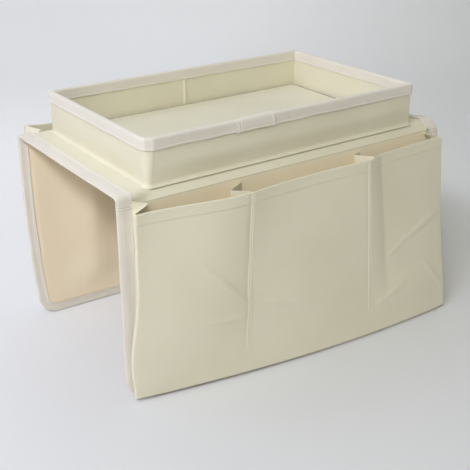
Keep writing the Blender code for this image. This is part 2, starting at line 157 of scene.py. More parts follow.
def cloth_finish(name, colour, dark, light, warp, weft, relief, roughness, sheen):
    """Woven cloth with an uneven dye, a weave that follows the cloth, and paler rims and folds that are
    partly wear and partly painted highlight.
    """
    roughness_spread = 0.08
    finish, tree, shader, place = new_finish(name)
    cloud = noise(tree, place["Object"], 16.0, 3.0)
    fleck = noise(tree, place["UV"], 900.0, 2.0)
    form = tree.nodes.new("ShaderNodeNewGeometry").outputs["Pointiness"]
    dyed = mixed(tree, share_of(tree, cloud, 0.35, 0.70, 0.55), (*colour, 1), (*dark, 1))
    flecked = mixed(tree, share_of(tree, fleck, 0.45, 0.75, 0.25), dyed, (*dark, 1))
    # Paler where the cloth is most pointed, at its rims and folds: partly edge wear, partly a painted
    # highlight along each edge and fold.
    wear_and_highlight = mixed(tree, share_of(tree, form, 0.52, 0.62, 0.6), flecked, (*light, 1))
    across = thread_waves(tree, place["UV"], warp, "X")
    along = thread_waves(tree, place["UV"], weft, "Y")
    fuzz = added(tree, fleck, added(tree, across, along))
    ends = {"Value": fleck, "To Min": roughness - roughness_spread, "To Max": roughness + roughness_spread}
    wire(tree, shader, {
        "Base Color": wear_and_highlight,
        "Normal": bumped(tree, fuzz, 0.5, relief),
        "Roughness": add_node(tree, "MapRange", "Result", ends),
        "Sheen Weight": sheen,
        "Sheen Roughness": 0.5,
    })
    return finish


cream_cloth = cloth_finish(
    "cream_coated_cloth",
    colour=(0.81, 0.78, 0.63),
    dark=(0.75, 0.71, 0.555),
    light=(0.89, 0.87, 0.75),
    warp=0.0006,
    weft=0.0006,
    relief=0.00005,
    roughness=0.62,
    sheen=0.12,
)


def even_steps(start, end, pitch):
    """Values from start to end, at most a pitch apart."""
    return np.linspace(start, end, max(2, math.ceil(abs(end - start) / pitch) + 1))


def joined_steps(*runs):
    """Runs of values, end to end, with each shared end kept once."""
    return np.concatenate([runs[0], *[run[1:] for run in runs[1:]]])


def stepped(start, *legs):
    """Values from start on. Each leg gives its greatest pitch and where it ends."""
    runs = []
    for pitch, end in legs:
        runs.append(even_steps(start, end, pitch))
        start = end
    return joined_steps(*runs)


def cloth_piece(name, across, along, place, finish=cream_cloth, thickness=cloth, closed=False):
    """A sheet set down by place(across, along), with thickness round it and its cut as its UV map."""
    bpy.ops.object.select_all(action="DESELECT")
    bpy.ops.mesh.primitive_grid_add(x_subdivisions=len(across) - 1, y_subdivisions=len(along) - 1, size=2)
    piece = bpy.context.object
    piece.name = name
    mesh = piece.data
    mesh.name = name
    corners = np.empty(len(mesh.vertices) * 3, np.float32)
    mesh.vertices.foreach_get("co", corners)
    shares = (corners.reshape(-1, 3)[:, :2] + 1) / 2
    a = across[np.rint(shares[:, 0] * (len(across) - 1)).astype(int)]
    b = along[np.rint(shares[:, 1] * (len(along) - 1)).astype(int)]
    points = np.stack(np.broadcast_arrays(*place(a, b)), axis=1)
    mesh.vertices.foreach_set("co", points.astype(np.float32).ravel())
    turns = np.empty(len(mesh.loops), np.int32)
    mesh.loops.foreach_get("vertex_index", turns)
    cut = np.stack([a[turns], b[turns]], axis=1)
    mesh.uv_layers.active.data.foreach_set("uv", cut.astype(np.float32).ravel())
    mesh.materials.append(finish)
    if closed:
        bpy.ops.object.mode_set(mode="EDIT")
        bpy.ops.mesh.select_all(action="SELECT")
        bpy.ops.mesh.remove_doubles(threshold=seam_gap / 10)
        bpy.ops.object.mode_set(mode="OBJECT")
    wall = piece.modifiers.new("thickness", "SOLIDIFY")
    wall.thickness = thickness
    wall.offset = 0
    bpy.ops.object.modifier_apply(modifier=wall.name)
    bpy.ops.object.shade_smooth_by_angle(angle=sharp_angle)
    return piece


def smooth(share):
    """A share that leaves 0 and reaches 1 softly."""
    share = np.clip(share, 0, 1)
    return share * share * (3 - 2 * share)


def hump(away, reach):
    """A soft hump, 1 high at its middle and low a reach away from it."""
    return np.exp(-((away / reach) ** 2))


def unevenness(a, b, pitch):
    """Soft hills and hollows from -1 to 1, about a pitch across."""
    k = 2 * math.pi / pitch
    first = np.sin(0.61 * k * a + 1.3 + 1.1 * np.sin(0.37 * k * b))
    second = np.sin(0.53 * k * b + 0.4 + 1.3 * np.sin(0.41 * k * a + 2.1))
    return (first + second) / 2


flat_half_width = half_width - crease_radius
saddle_edge = half_length - tape_reach
side_tape_width = 0.0165
top_unevenness = 0.0002
top_hill_pitch = 0.09
shoulder_start = 0.0058
shoulder_drop = 0.0016
shoulder_fade = 0.020
shoulder_pitch = 0.0008
cloth_pitch = 0.004
left_trim = 0.0012
sag_start = 0.152
sag_depth = 0.0048
sag_reach = 0.036


def shoulder_fall(x, y):
    """How far the front of the top has sunk towards the crease. It stays up at the left end tape."""
    near = np.clip((-y - flat_half_width) / shoulder_start + 1, 0, 1)
    return shoulder_drop * near**2 * smooth((half_length - side_tape_width + x) / shoulder_fade)


def end_sag(x, y):
    """How far the right end hangs, past the tray's foot and between the creases."""
    past = smooth((x - sag_start) / (half_length - sag_start))
    return sag_depth * past * smooth((flat_half_width - np.abs(y)) / sag_reach)


def trimmed(x):
    """The left end was cut a little short."""
    return x + left_trim * smooth((-x / half_length - 0.8) / 0.2)


def top_point(x, y, depth, hill_shift, hill_pitch):
    """A point under the top's outer face, which has soft hills of its own."""
    fade = smooth((flat_half_width - np.abs(y)) / crease_radius)
    lift = top_unevenness * unevenness(x, y + hill_shift, hill_pitch) * fade
    z = saddle_top - depth + lift - shoulder_fall(x, y) - end_sag(x, y)
    return trimmed(x), y + middle_y, z


def saddle_cover_place(x, y):
    return top_point(x, y, cloth / 2, 0, top_hill_pitch)


shoulder_end = -flat_half_width + shoulder_start
saddle_rows = stepped(-flat_half_width, (shoulder_pitch, shoulder_end), (cloth_pitch, flat_half_width))
cover_columns = even_steps(-saddle_edge, saddle_edge, cloth_pitch)
saddle_cover = cloth_piece("saddle_cover", cover_columns, saddle_rows, saddle_cover_place)
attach(saddle_cover, "saddle")
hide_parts("top_cover")


# The boards are grey chipboard, cut square and slid between the cover and the lining.
# One lies in the saddle's top, four stand in the tray's walls, and the flaps and floor hold more.
# The saddle's and the flaps' stop short of the bound edges, which are sewn flat without them.
def toned(tree, share, dark, light):
    """A dark colour turned into a light one by a share."""
    ramp = tree.nodes.new("ShaderNodeValToRGB")
    ramp.color_ramp.elements[0].color = (*dark, 1)
    ramp.color_ramp.elements[1].color = (*light, 1)
    tree.links.new(share, ramp.inputs["Fac"])
    return ramp.outputs["Color"]


grey_board, board_tree, board_shader, board_spot = new_finish("grey_chipboard")
fibre_form = {"Vector": board_spot["Object"], "Scale": 380.0, "Detail": 6.0, "Roughness": 0.7}
fibres = add_node(board_tree, "TexNoise", "Fac", fibre_form)
fibre_relief = 0.0001
wire(board_tree, board_shader, {
    "Base Color": toned(board_tree, fibres, (0.24, 0.21, 0.17), (0.46, 0.42, 0.36)),
    "Normal": bumped(board_tree, fibres, 0.4, fibre_relief),
    "Roughness": 0.9,
})
for name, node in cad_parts.items():
    if name.endswith("_board") or name.endswith("_stiffener"):
        node.data.materials.clear()
        node.data.materials.append(grey_board)
board_inset = 0.0145
board_pitch = 0.02
sagging_pitch = 0.002


def saddle_board_place(x, y):
    return x, y + middle_y, saddle_top - cloth - seam_gap - board / 2 - end_sag(x, y)


board_end = half_length - board_inset
board_columns = stepped(-board_end, (board_pitch, sag_start), (sagging_pitch, board_end))
board_depths = even_steps(shoulder_end, flat_half_width, 2 * sagging_pitch)
place = saddle_board_place
saddle_board = cloth_piece("saddle_board", board_columns, board_depths, place, grey_board, board)
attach(saddle_board, "saddle")
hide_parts("top_board")


# The tray's walls are one strip of the cream cloth outside and one inside, over the boards.
# The outer strip ends in a small sewn welt on the saddle; the inner one closes in a rear seam.
tray_half_length = tray_high.x
tray_half_width = (tray_high.y - tray_low.y) / 2
tray_radius = 0.0030
tray_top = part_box("rim_tape")[1].z
wall_top = tray_top - tape_reach
wall_height = wall_top - saddle_top - seam_gap - cloth
tray_foot_radius = 0.0018
least_turn = 0.0004
corner_reach = 0.014
welt_height = 0.0028
welt_reach = 0.0022
foot_reach = 0.006
wall_belly = 0.0011
belly_top = 0.0260
belly_fade = 0.030
wall_unevenness = 0.00025
wall_hill_pitch = 0.07
lining_hill_pitch = 0.06
lining_hill_shift = 0.2
wall_fade = 0.01
wall_seam_width = 0.0012
wall_seam_height = 0.0010
wall_pitch = 0.003
wall_corner_pitch = 0.0005
wall_rise_pitch = 0.0025
wall_seam_pitch = 0.0006
before_stop = 0.00001
welt_pitch = 0.0002
corner_radius_shares = (1.0, 1.0, 1.3, 3.0)


def tray_stations(straight_pitch, corner_pitch):
    """Distances round the tray's outline, closer together in its corners."""
    long_side = 2 * (tray_half_length - tray_radius)
    short_side = 2 * (tray_half_width - tray_radius)
    turn = math.pi / 2 * tray_radius
    stops = [0.0]
    runs = []
    for length in (long_side, turn, short_side, turn, long_side, turn, short_side, turn):
        start = stops[-1]
        end = start + length
        legs = [(corner_pitch, end)]
        if length != turn:
            legs = [(corner_pitch, start + corner_reach), (straight_pitch, end - corner_reach), *legs]
        runs.append(stepped(start, *legs))
        stops.append(end)
    return joined_steps(*runs), np.array(stops)


def tray_point(distance, stops, inset, radius):
    """The tray's outline drawn in by an inset, from the front left corner on towards +X."""
    x = np.zeros_like(distance)
    y = np.zeros_like(distance)
    halves = (tray_half_length, tray_half_width)
    corners = ((1, -1), (1, 1), (-1, 1), (-1, -1))
    headings = ((1, 0), (0, 1), (-1, 0), (0, -1))
    turns = [np.maximum(share * radius - inset, least_turn) for share in corner_radius_shares]
    for i, ((sx, sy), (hx, hy)) in enumerate(zip(corners, headings, strict=True)):
        start, bend, end = stops[2 * i : 2 * i + 3]
        first = turns[i - 1] + inset - halves[i % 2]
        last = halves[i % 2] - inset - turns[i]
        along = first + (last - first) * (distance - start) / (bend - start)
        out = halves[(i + 1) % 2] - inset
        straight = (distance >= start) & (distance <= bend)
        x = np.where(straight, hx * along + hy * out, x)
        y = np.where(straight, hy * along - hx * out, y)
        turning = (distance > bend) & (distance <= end)
        angle = (distance - bend) / tray_radius + (i - 1) * math.pi / 2
        x = np.where(turning, sx * (halves[0] - inset - turns[i]) + turns[i] * np.cos(angle), x)
        y = np.where(turning, sy * (halves[1] - inset - turns[i]) + turns[i] * np.sin(angle), y)
    return x, y


def wall_radius(up_wall):
    """The tray's corners are tight where they are sewn down, and rounder at the bound rim.
    The front left one is the roundest."""
    return tray_foot_radius + (tray_radius - tray_foot_radius) * smooth(up_wall / wall_height)


wall_stations, tray_stops = tray_stations(wall_pitch, wall_corner_pitch)


def tray_cover_place(distance, up_wall):
    rise = up_wall - welt_height
    bead = welt_reach * (1 - np.clip(up_wall / welt_height, 0, 1)) ** 1.7
    hills = wall_unevenness * unevenness(distance, up_wall, wall_hill_pitch) * smooth(rise / wall_fade)
    hills *= smooth((wall_top - saddle_top - up_wall) / wall_fade)
    from_corner = np.min([np.abs(distance - stop) for stop in tray_stops], axis=0)
    belly = np.sin(math.pi * np.clip(rise / (belly_top - welt_height), 0, 1)) ** 2
    hills -= wall_belly * belly * smooth(from_corner / belly_fade)
    x, y = tray_point(distance, tray_stops, cloth / 2 - bead + hills, wall_radius(up_wall))
    z = saddle_top + seam_gap + cloth / 2 + up_wall
    sewn_z = saddle_cover_place(x, y)[2] + cloth / 2 + up_wall
    return x, y + middle_y, sewn_z + (z - sewn_z) * smooth(up_wall / foot_reach)


def tray_lining_place(distance, up_wall):
    rear_middle = (tray_stops[4] + tray_stops[5]) / 2
    hills = wall_unevenness * unevenness(distance + lining_hill_shift, up_wall, lining_hill_pitch)
    hills *= smooth(up_wall / wall_fade) * smooth((wall_top - saddle_top - up_wall) / wall_fade)
    seam = wall_seam_height * hump(distance - rear_middle, wall_seam_width)
    depth = lining_face + cloth / 2 + hills + seam
    x, y = tray_point(distance, tray_stops, depth, wall_radius(up_wall))
    return x, y + middle_y, saddle_top + seam_gap + cloth / 2 + up_wall


cover_rows = stepped(0, (welt_pitch, welt_height), (wall_rise_pitch, wall_height))
tray_cover = cloth_piece("tray_wall_cover", wall_stations, cover_rows, tray_cover_place, closed=True)
seam_stations = joined_steps(
    wall_stations[wall_stations < tray_stops[4]],
    even_steps(tray_stops[4] - before_stop, tray_stops[5], wall_seam_pitch),
    wall_stations[wall_stations > tray_stops[5]],
)
wall_rows = even_steps(0, wall_height, wall_rise_pitch)
tray_lining = cloth_piece("tray_wall_lining", seam_stations, wall_rows, tray_lining_place, closed=True)
for piece, node, inset in ((tray_cover, "tray_outer_cover", 0), (tray_lining, "tray_lining", lining_face)):
    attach(piece, "saddle")
    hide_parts(node)


# The loose floor is a board in a sleeve of the same cloth, a little smaller than the tray.
# Its sewn edge stands out as a thin bead and wanders, so a dark gap shows along the walls.
floor_low, floor_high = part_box("insert_cover")
floor_radius = 0.0035
floor_edge_wave = 0.00045
floor_edge_reach = 0.0009
floor_sag = 0.0004
floor_wave_pitch = 0.022
floor_sag_pitch = 0.11
bpy.ops.object.select_all(action="DESELECT")
bpy.ops.mesh.primitive_cube_add(size=1, location=(floor_low + floor_high) / 2)
floor_sleeve = bpy.context.object
floor_sleeve.name = "floor_sleeve"
floor_sleeve.scale = floor_high - floor_low
bpy.ops.object.transform_apply(location=True, rotation=False, scale=True)
bpy.ops.object.mode_set(mode="EDIT")
bpy.ops.mesh.select_all(action="SELECT")
bpy.ops.mesh.subdivide(number_cuts=40)
bpy.ops.object.mode_set(mode="OBJECT")
floor_thickness = floor_high.z - floor_low.z
for vert in floor_sleeve.data.vertices:
    x, y, z = vert.co
    rise_share = (z - floor_low.z) / floor_thickness
    half_x = floor_high.x + floor_edge_reach
    half_y = (floor_high.y - floor_low.y) / 2 + floor_edge_reach
    x *= half_x / floor_high.x
    y = (y - middle_y) * half_y / (half_y - floor_edge_reach)
    into_x = max(abs(x) - (half_x - floor_radius), 0)
    into_y = max(abs(y) - (half_y - floor_radius), 0)
    reach = math.hypot(into_x, into_y)
    if reach > floor_radius:
        x -= math.copysign(into_x * (1 - floor_radius / reach), x)
        y -= math.copysign(into_y * (1 - floor_radius / reach), y)
        reach = floor_radius
    rounding = 1 - math.sqrt(max(1 - min(reach / floor_radius, 1) ** 2, 0))
    wave = float(unevenness(x, y + 0.3, floor_wave_pitch))
    edge_share = float(smooth((max(abs(x) / half_x, abs(y) / half_y) - 0.9) / 0.1))
    x -= math.copysign(floor_edge_wave * (1 + wave) * edge_share, x)
    y -= math.copysign(floor_edge_wave * (1 + wave) * edge_share, y)
    top_share = 2 * rise_share - 1
    pillow = 0.5 * floor_thickness * (1 - 0.75 * rounding) * top_share
    z = floor_low.z + floor_thickness / 2 + pillow
    if rise_share > 0.99:
        z += floor_sag * (float(unevenness(x, y, floor_sag_pitch)) - 1) / 2
    vert.co = (x, y + middle_y, z)
floor_sleeve.data.materials.append(cream_cloth)
bpy.ops.object.shade_smooth_by_angle(angle=sharp_angle)
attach(floor_sleeve, "insert")
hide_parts("insert_cover")


# The tan lining closes the saddle and the flaps from inside, as a thin unwoven cloth.
# On the saddle it lies flat under the top board.
tan_lining = cloth_finish(
    "tan_lining_cloth",
    colour=(0.93, 0.83, 0.645),
    dark=(0.88, 0.75, 0.55),
    light=(0.95, 0.89, 0.74),
    warp=0.0009,
    weft=0.0007,
    relief=0.00008,
    roughness=0.80,
    sheen=0.25,
)
edge_closing = 0.0020
closed_reach = 0.004
closing_reach = 0.010
under_hill_shift = 0.5
under_hill_pitch = 0.08


def closed_up(depth, from_edge):
    """A depth under the outer face. Near a bound edge there is no board, so the layers close up."""
    share = 1 - smooth((from_edge - closed_reach) / closing_reach)
    return depth - edge_closing * share * np.clip(depth / lining_face, 0, 1)


def saddle_lining_place(x, y):
    depth = closed_up(lining_face + cloth / 2, half_length - np.abs(x))
    return top_point(x, y, depth, under_hill_shift, under_hill_pitch)


lining_columns = even_steps(-saddle_edge, saddle_edge, cloth_pitch / 2)
saddle_lining = cloth_piece("saddle_lining", lining_columns, saddle_rows, saddle_lining_place, tan_lining)
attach(saddle_lining, "saddle")
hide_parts("top_lining")


# White ribbed tape binds the tray's rim, folded over the wall and its lining and sewn through.
# It bunches into fine ribs round the corners, and its ends lap on the front side.
rim_tape_width = 0.0105
lap_left = -0.0610
lap_right = -0.0210
lap_rib_depth = 0.00045
lap_curl = 0.0007
lap_lean = 0.0020
lap_end_reach = 0.0016
lap_extra_width = 0.0002
lap_looseness = 0.0001
lap_flare = 0.0012
lap_flare_inset = 0.001
pucker_inset = 0.002
pucker_reach = 0.003
lap_settle_start = 0.001
lap_settle_reach = 0.012
lap_lean_reach = 0.006
lap_pitches = (0.0003, 0.001, 0.0004)
lap_start_reach = 0.010
lap_cut_reach = 0.004
tape_edge_wave = 0.00030
tape_edge_pitch = 0.03
tape_bead = 0.00022
bead_inset = 0.0005
bead_width = 0.0004
groove_inset = 0.0016
groove_width = 0.0005
lump_height = 0.0001
lump_pitch = 0.018
roll_inset = 0.0045
roll_width = 0.0026
bunch_depth = 0.00034
bunch_pitch = 0.0022
rim_bunch_reach = 0.008
rim_corner_pitch = 0.0004
fold_radius = stack / 2 + tape_reach - tape / 2
fold_centre = fold_radius + tape / 2
fold_squareness = 0.72

white_tape = cloth_finish(
    "white_ribbed_tape",
    colour=(0.86, 0.82, 0.75),
    dark=(0.77, 0.725, 0.65),
    light=(0.91, 0.88, 0.82),
    warp=0.0011,
    weft=0.0005,
    relief=0.00012,
    roughness=0.85,
    sheen=0.30,
)


def tape_rows():
    """Shares across a folded tape: close together at both edges and round the fold."""
    leg = np.array([0, 0.02, 0.04, 0.07, 0.10, 0.14, 0.20, 0.30, 0.45, 0.62, 0.80])
    fold = 1 + even_steps(0, 1, 0.1)
    return np.concatenate([leg, fold, 2 + (1 - leg[::-1])[1:]])


def tape_section(share, width, inner_width=rim_tape_width):
    """Where the tape's middle lies: how far in from the bound edge, and how deep."""
    outer_leg = width - fold_centre
    inner_leg = inner_width - fold_centre
    inward = np.where(share < 1, width - share * outer_leg, fold_centre + (share - 2) * inner_leg)
    turn = np.clip(share - 1, 0, 1) * math.pi
    folded = (share >= 1) & (share <= 2)
    inward = np.where(folded, fold_centre - fold_radius * np.sin(turn) ** fold_squareness, inward)
    across = np.sign(np.cos(turn)) * np.abs(np.cos(turn)) ** fold_squareness
    return inward, stack / 2 - fold_radius * across


def tape_relief(share, width, distance, inner_width=rim_tape_width, roll=0.0):
    """How far the tape's face stands off: a beaded free edge, its sewn groove and soft lumps."""
    outer_leg = width - fold_centre
    inner_leg = inner_width - fold_centre
    from_edge = np.where(share < 1.5, share * outer_leg, (3 - share) * inner_leg)
    bead = tape_bead * hump(from_edge - bead_inset, bead_width)
    groove = 0.6 * tape_bead * hump(from_edge - groove_inset, groove_width)
    lumps = lump_height * unevenness(distance, from_edge, lump_pitch)
    rolled = roll * hump(width - from_edge - roll_inset, roll_width) * (share < 1)
    outwards = np.where(share < 1, -1.0, np.where(share > 2, 1.0, 0.0))
    return outwards * (bead - groove + lumps + rolled)


def bunching(distance, centre, reach):
    """Fine ribs across the tape about a place where it turns."""
    near = hump(distance - centre, reach)
    return bunch_depth * near * np.sin(2 * math.pi * distance / bunch_pitch)


rim_stations, _ = tray_stations(wall_pitch, rim_corner_pitch)
corner_middles = [(tray_stops[i] + tray_stops[i + 1]) / 2 for i in (1, 3, 5, 7)]


def rim_tape_place(distance, share):
    width = rim_tape_width + tape_edge_wave * unevenness(distance, share * 0.01, tape_edge_pitch)
    inward, depth = tape_section(share, width)
    depth = depth + tape_relief(share, width, distance)
    for corner in corner_middles:
        ribs = bunching(distance, corner, rim_bunch_reach)
        inward = inward + 0.3 * ribs
        depth = depth + ribs
    x, y = tray_point(distance, tray_stops, depth, tray_radius)
    return x, y + middle_y, tray_top - inward


rim_tape = cloth_piece(
    "rim_binding", rim_stations, tape_rows(), rim_tape_place, white_tape, tape, closed=True
)


def lap_place(x, share):
    """The lapped end: a short second turn of tape, puckered where it starts and cut off square."""
    from_left = x - lap_left
    near_start = hump(from_left - pucker_inset, pucker_reach)
    puckers = lap_rib_depth * near_start * np.sin(2 * math.pi * x / bunch_pitch)
    settle = smooth((from_left + lap_settle_start) / lap_settle_reach)
    curl = lap_curl * hump(lap_right - x, lap_end_reach)
    width = rim_tape_width + lap_extra_width + lap_flare * hump(from_left - lap_flare_inset, lap_end_reach)
    inward, depth = tape_section(share, width)
    turn = np.clip(share - 1, 0, 1) * math.pi
    spread = (tape + lap_looseness) * (1.15 * settle - 0.15) + curl
    depth = depth - np.cos(turn) * spread + puckers + tape_relief(share, width, x)
    inward = inward - np.where((share > 1) & (share < 2), np.sin(turn), 0.0) * spread
    at_cut = smooth((x - lap_right + lap_lean_reach) / lap_lean_reach)
    lean = lap_lean * (inward / rim_tape_width - 0.5) * at_cut
    return x + lean, depth - tray_half_width + middle_y, tray_top - inward


lap_ends = (lap_left + lap_start_reach, lap_right - lap_cut_reach, lap_right)
lap_columns = stepped(lap_left, *zip(lap_pitches, lap_ends, strict=True))
rim_lap = cloth_piece("rim_binding_lap", lap_columns, tape_rows(), lap_place, white_tape, tape)
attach(rim_tape, "saddle")
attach(rim_lap, "saddle")
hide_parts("rim_tape")


# Each flap's cover goes on from the saddle's over the crease, down to the bound hem.
# A narrow sewn welt along the crease's foot is what the flap turns on.
def three_way(values, share):
    """The parabola with the given values at shares -1, 0 and 1."""
    left, middle, right = values
    return middle + (right - left) / 2 * share + ((right + left) / 2 - middle) * share**2


bend_length = math.pi / 2 * crease_radius
bend_foot = saddle_top - crease_radius
crease_slit = 0.0006
flap_top = bend_foot - crease_slit
flap_run = bend_length + bend_foot
hem_radius = 0.0180
side_leg = flap_run - hem_radius
hem_tape_width = 0.0098
least_radius = 0.0004
crease_welt = 0.0005
crease_welt_width = 0.0007
crease_pitch = 0.0005
crease_end_pitch = 0.0003
crease_end = bend_length + 0.003
corner_angle_pitch = 0.12
board_angle_pitch = 0.2
board_share_pitch = 0.05
cover_hill = 0.0003
cover_hill_pitch = 0.08
cover_hill_fade = 0.03
sides = {
    "front": {
        "sign": -1,
        "crease": 0.0034,
        "welt_run": bend_length + crease_slit,
        "hem_out": (-0.0020, 0.0360, 0.0432),
        "mouth_out": (0.0126, 0.0272, 0.0254, 0.0150),
        "mouth_slack": (0.0, 0.0036, 0.0010),
        "mouth_draw": 0.0,
        "mouth_rise": 0.0,
        "edge_draw": (0.0022, 0.0052, 0.0078),
        "foot_out": (0.0080, 0.0390, 0.0460),
        "mouth": saddle_top - 0.0120,
        "strip_width": 0.0245,
        "gusset_width": 0.0110,
        "base_width": 0.0130,
        "base_area": 0.0014,
        "end_draw": (0.0, 0.0075),
        "end_bow": (0.0, 0.0),
    },
    "rear": {
        "sign": 1,
        "crease": 0.0030,
        "welt_run": bend_length / 2,
        "hem_out": (-0.0130, -0.0190, -0.0150),
        "mouth_out": (0.0285, 0.0335, 0.0335, 0.0285),
        "mouth_slack": (0.0010, 0.0024, 0.0010),
        "mouth_draw": 0.060,
        "mouth_rise": 0.0060,
        "edge_draw": (0.0, 0.0, 0.0),
        "foot_out": (0.0000, -0.0070, -0.0020),
        "mouth": saddle_top - 0.0060,
        "strip_width": 0.0295,
        "gusset_width": 0.0205,
        "base_width": 0.0130,
        "base_area": 0.0040,
        "end_draw": (0.0, 0.0),
        "end_bow": (0.0034, 0.0),
    },
}


def edge_distance(x, run):
    """How far a point of a flap is from its bound edge, round the lower corners too."""
    across = half_length - np.abs(x)
    up = flap_run - run
    corner = hem_radius - np.hypot(np.maximum(hem_radius - across, 0), np.maximum(hem_radius - up, 0))
    return np.where((across < hem_radius) & (up < hem_radius), corner, np.minimum(across, up))


def flap_out(side, x, z):
    """How far the flap's outer face stands out from the plane of its crease."""
    drop_share = np.maximum(flap_top - z, 0) / flap_top
    return three_way(side["hem_out"], x / half_length) * drop_share


def end_shift(side, x, run):
    """How far a flap's ends are drawn in towards the foot, or bowed out halfway down."""
    down_share = np.clip(run / flap_run, 0, 1)
    shift = np.zeros_like(x)
    for draw, bow, sign in zip(side["end_draw"], side["end_bow"], (-1, 1), strict=True):
        near = smooth((sign * x / half_length - 0.5) / 0.5)
        shift = shift - sign * near * (draw * smooth(down_share) - bow * np.sin(math.pi * down_share))
    return shift


def skin(side, x, run, depth):
    """A point under a side's outer face. The run is measured over the crease, from the flat's edge."""
    depth = closed_up(depth, edge_distance(x, run))
    radius = np.maximum(side["crease"] - depth, least_radius)
    straight = crease_radius - depth - radius
    turn = math.pi / 2 * radius
    share = np.clip(run / bend_length, 0, 1)
    walked = share * (2 * straight + turn)
    angle = np.clip(walked - straight, 0, turn) / radius
    out = np.minimum(walked, straight) + radius * np.sin(angle)
    down = depth + radius * (1 - np.cos(angle)) + np.maximum(walked - straight - turn, 0)
    fallen = shoulder_fall(x, side["sign"] * flat_half_width)
    shoulder = fallen / shoulder_drop
    slope_out = (crease_radius - depth) * share
    slope_down = depth + fallen + (crease_radius - depth - fallen) * share**1.1
    out = out + (slope_out - out) * shoulder
    down = down + (slope_down - down) * shoulder
    z = saddle_top - down - np.maximum(run - bend_length, 0)
    y = flat_half_width + out + np.minimum(run, 0) + flap_out(side, x, z)
    return trimmed(x) + end_shift(side, x, run), side["sign"] * y + middle_y, z


def flap_half(z, inset):
    """Half the flap's width at a height, with its rounded lower corners."""
    into_corner = np.maximum(hem_radius - z, 0)
    corner = np.sqrt(np.maximum((hem_radius - inset) ** 2 - into_corner**2, 0))
    return half_length - hem_radius + np.where(z < hem_radius, corner, hem_radius - inset)


def flap_runs(inset):
    """Runs down the flap, fine over the crease and round the lower corners."""
    turns = even_steps(0, math.pi / 2, corner_angle_pitch)
    legs = ((crease_pitch, bend_length), (crease_end_pitch, crease_end), (cloth_pitch, side_leg))
    return joined_steps(stepped(0, *legs), side_leg + (hem_radius - inset) * np.sin(turns))


board_turns = even_steps(0, math.pi / 2, board_angle_pitch)
board_rows = joined_steps(
    even_steps(bend_length + crease_slit, side_leg, board_pitch),
    side_leg + (hem_radius - board_inset) * np.sin(board_turns),
)
flap_rows = flap_runs(tape_reach)


def flap_board_place(side, x_share, run):
    x = x_share * flap_half(flap_run - run, board_inset)
    return skin(side, x, run, cloth + seam_gap + board / 2 + 0 * x)


def flap_cover_place(side, across, run):
    x = across / saddle_edge * flap_half(flap_run - run, tape_reach)
    at_tape = smooth((half_length - side_tape_width - np.abs(x)) / side_tape_width)
    welt = crease_welt * hump(run - side["welt_run"], crease_welt_width) * at_tape
    hills = cover_hill * unevenness(x, run, cover_hill_pitch)
    return skin(side, x, run, cloth / 2 - welt + hills * smooth((run - bend_length) / cover_hill_fade))


for side_name, side in sides.items():
    flap_board = f"{side_name}_flap_board"
    columns = even_steps(-1, 1, board_share_pitch)
    place = partial(flap_board_place, side)
    stiffener = cloth_piece(flap_board, columns, board_rows, place, grey_board, board)
    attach(stiffener, f"{side_name}_flap")
    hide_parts(f"{side_name}_flap_stiffener")
    place = partial(flap_cover_place, side)
    cover = cloth_piece(f"{side_name}_flap_outer_cloth", cover_columns, flap_rows, place)
    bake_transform(cover)
    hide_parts(f"{side_name}_flap_cover", "top_cover")


# The flap's tan lining is sewn in at the binding only, so it hangs off the board in soft folds.
# It too goes on over the crease from the saddle's underside.
lining_folds = ((-0.62, 0.10, 0.0046), (-0.20, 0.13, 0.0034), (0.26, 0.12, 0.0040), (0.66, 0.09, 0.0046))
hung_hill = 0.0006
hung_hill_pitch = 0.045
lining_flat = 0.010
lining_fade = 0.030
lining_pitch = 0.0024


def lining_fold(x, run):
    """How far the lining stands in from its board. It lies flat at the tape all round."""
    lift = np.zeros_like(x)
    for middle_share, reach_share, height in lining_folds:
        lean = 0.10 * (run / flap_run - 0.5) * np.sign(middle_share)
        lift = np.maximum(lift, height * hump(x / half_length - middle_share - lean, reach_share))
    lift = lift + hung_hill * (1 + unevenness(x, run, hung_hill_pitch))
    room = np.minimum(half_length - side_tape_width - np.abs(x), run - bend_length - lining_flat)
    room = np.minimum(room, flap_run - 1.3 * hem_tape_width - run)
    return lift * smooth(room / lining_fade)


def flap_lining_place(side, across, run):
    x = across / saddle_edge * flap_half(flap_run - run, tape_reach)
    return skin(side, x, run, lining_face + cloth / 2 + lining_fold(x, run))


for side_name, side in sides.items():
    columns = even_steps(-saddle_edge, saddle_edge, lining_pitch)
    place = partial(flap_lining_place, side)
    lining = cloth_piece(f"{side_name}_flap_inner_cloth", columns, flap_rows, place, tan_lining)
    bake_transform(lining)
    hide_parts(f"{side_name}_flap_lining", "top_lining")


# A ply of the tan cloth backs each pocket, sewn on with the crease's welt and the gussets.
# Its tan is partly the cloth's own colour and partly painted light: it stands in for warm light that comes
# through the panel and bounces round inside the pocket.
back_ply = 0.0004
ply_half = 0.1650
ply_top = bend_length + crease_slit + crease_welt_width
ply_foot_gap = 0.004
ply_foot = flap_run - hem_tape_width - ply_foot_gap
ply_pitch = 0.006


def pocket_back_place(side, x, run):
    return skin(side, x, run, -seam_gap / 2 - back_ply / 2 + 0 * x)


for side_name, side in sides.items():
    columns = even_steps(-ply_half, ply_half, ply_pitch)
    rows = even_steps(ply_top, ply_foot, ply_pitch)
    place = partial(pocket_back_place, side)
    back = cloth_piece(f"{side_name}_pocket_back_painted_light", columns, rows, place, tan_lining, back_ply)
    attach(back, f"{side_name}_flap")


# The same tape, wider, binds the saddle's two ends and runs on round each flap.
# Over the creases it bunches into ribs, and its free edges wander where they were sewn by hand.
end_widths = {-1: 0.0142, 1: 0.0158}
flap_widths = {-1: 0.0140, 1: 0.0098}
inner_width = 0.0090
tape_roll = 0.0006
edge_waver = 1.6 * tape_edge_wave
edge_waver_pitch = 0.045
edge_sway = 0.0003
edge_sway_fade = 0.02
end_sway_pitch = 0.06
end_tape_pitch = 0.0014


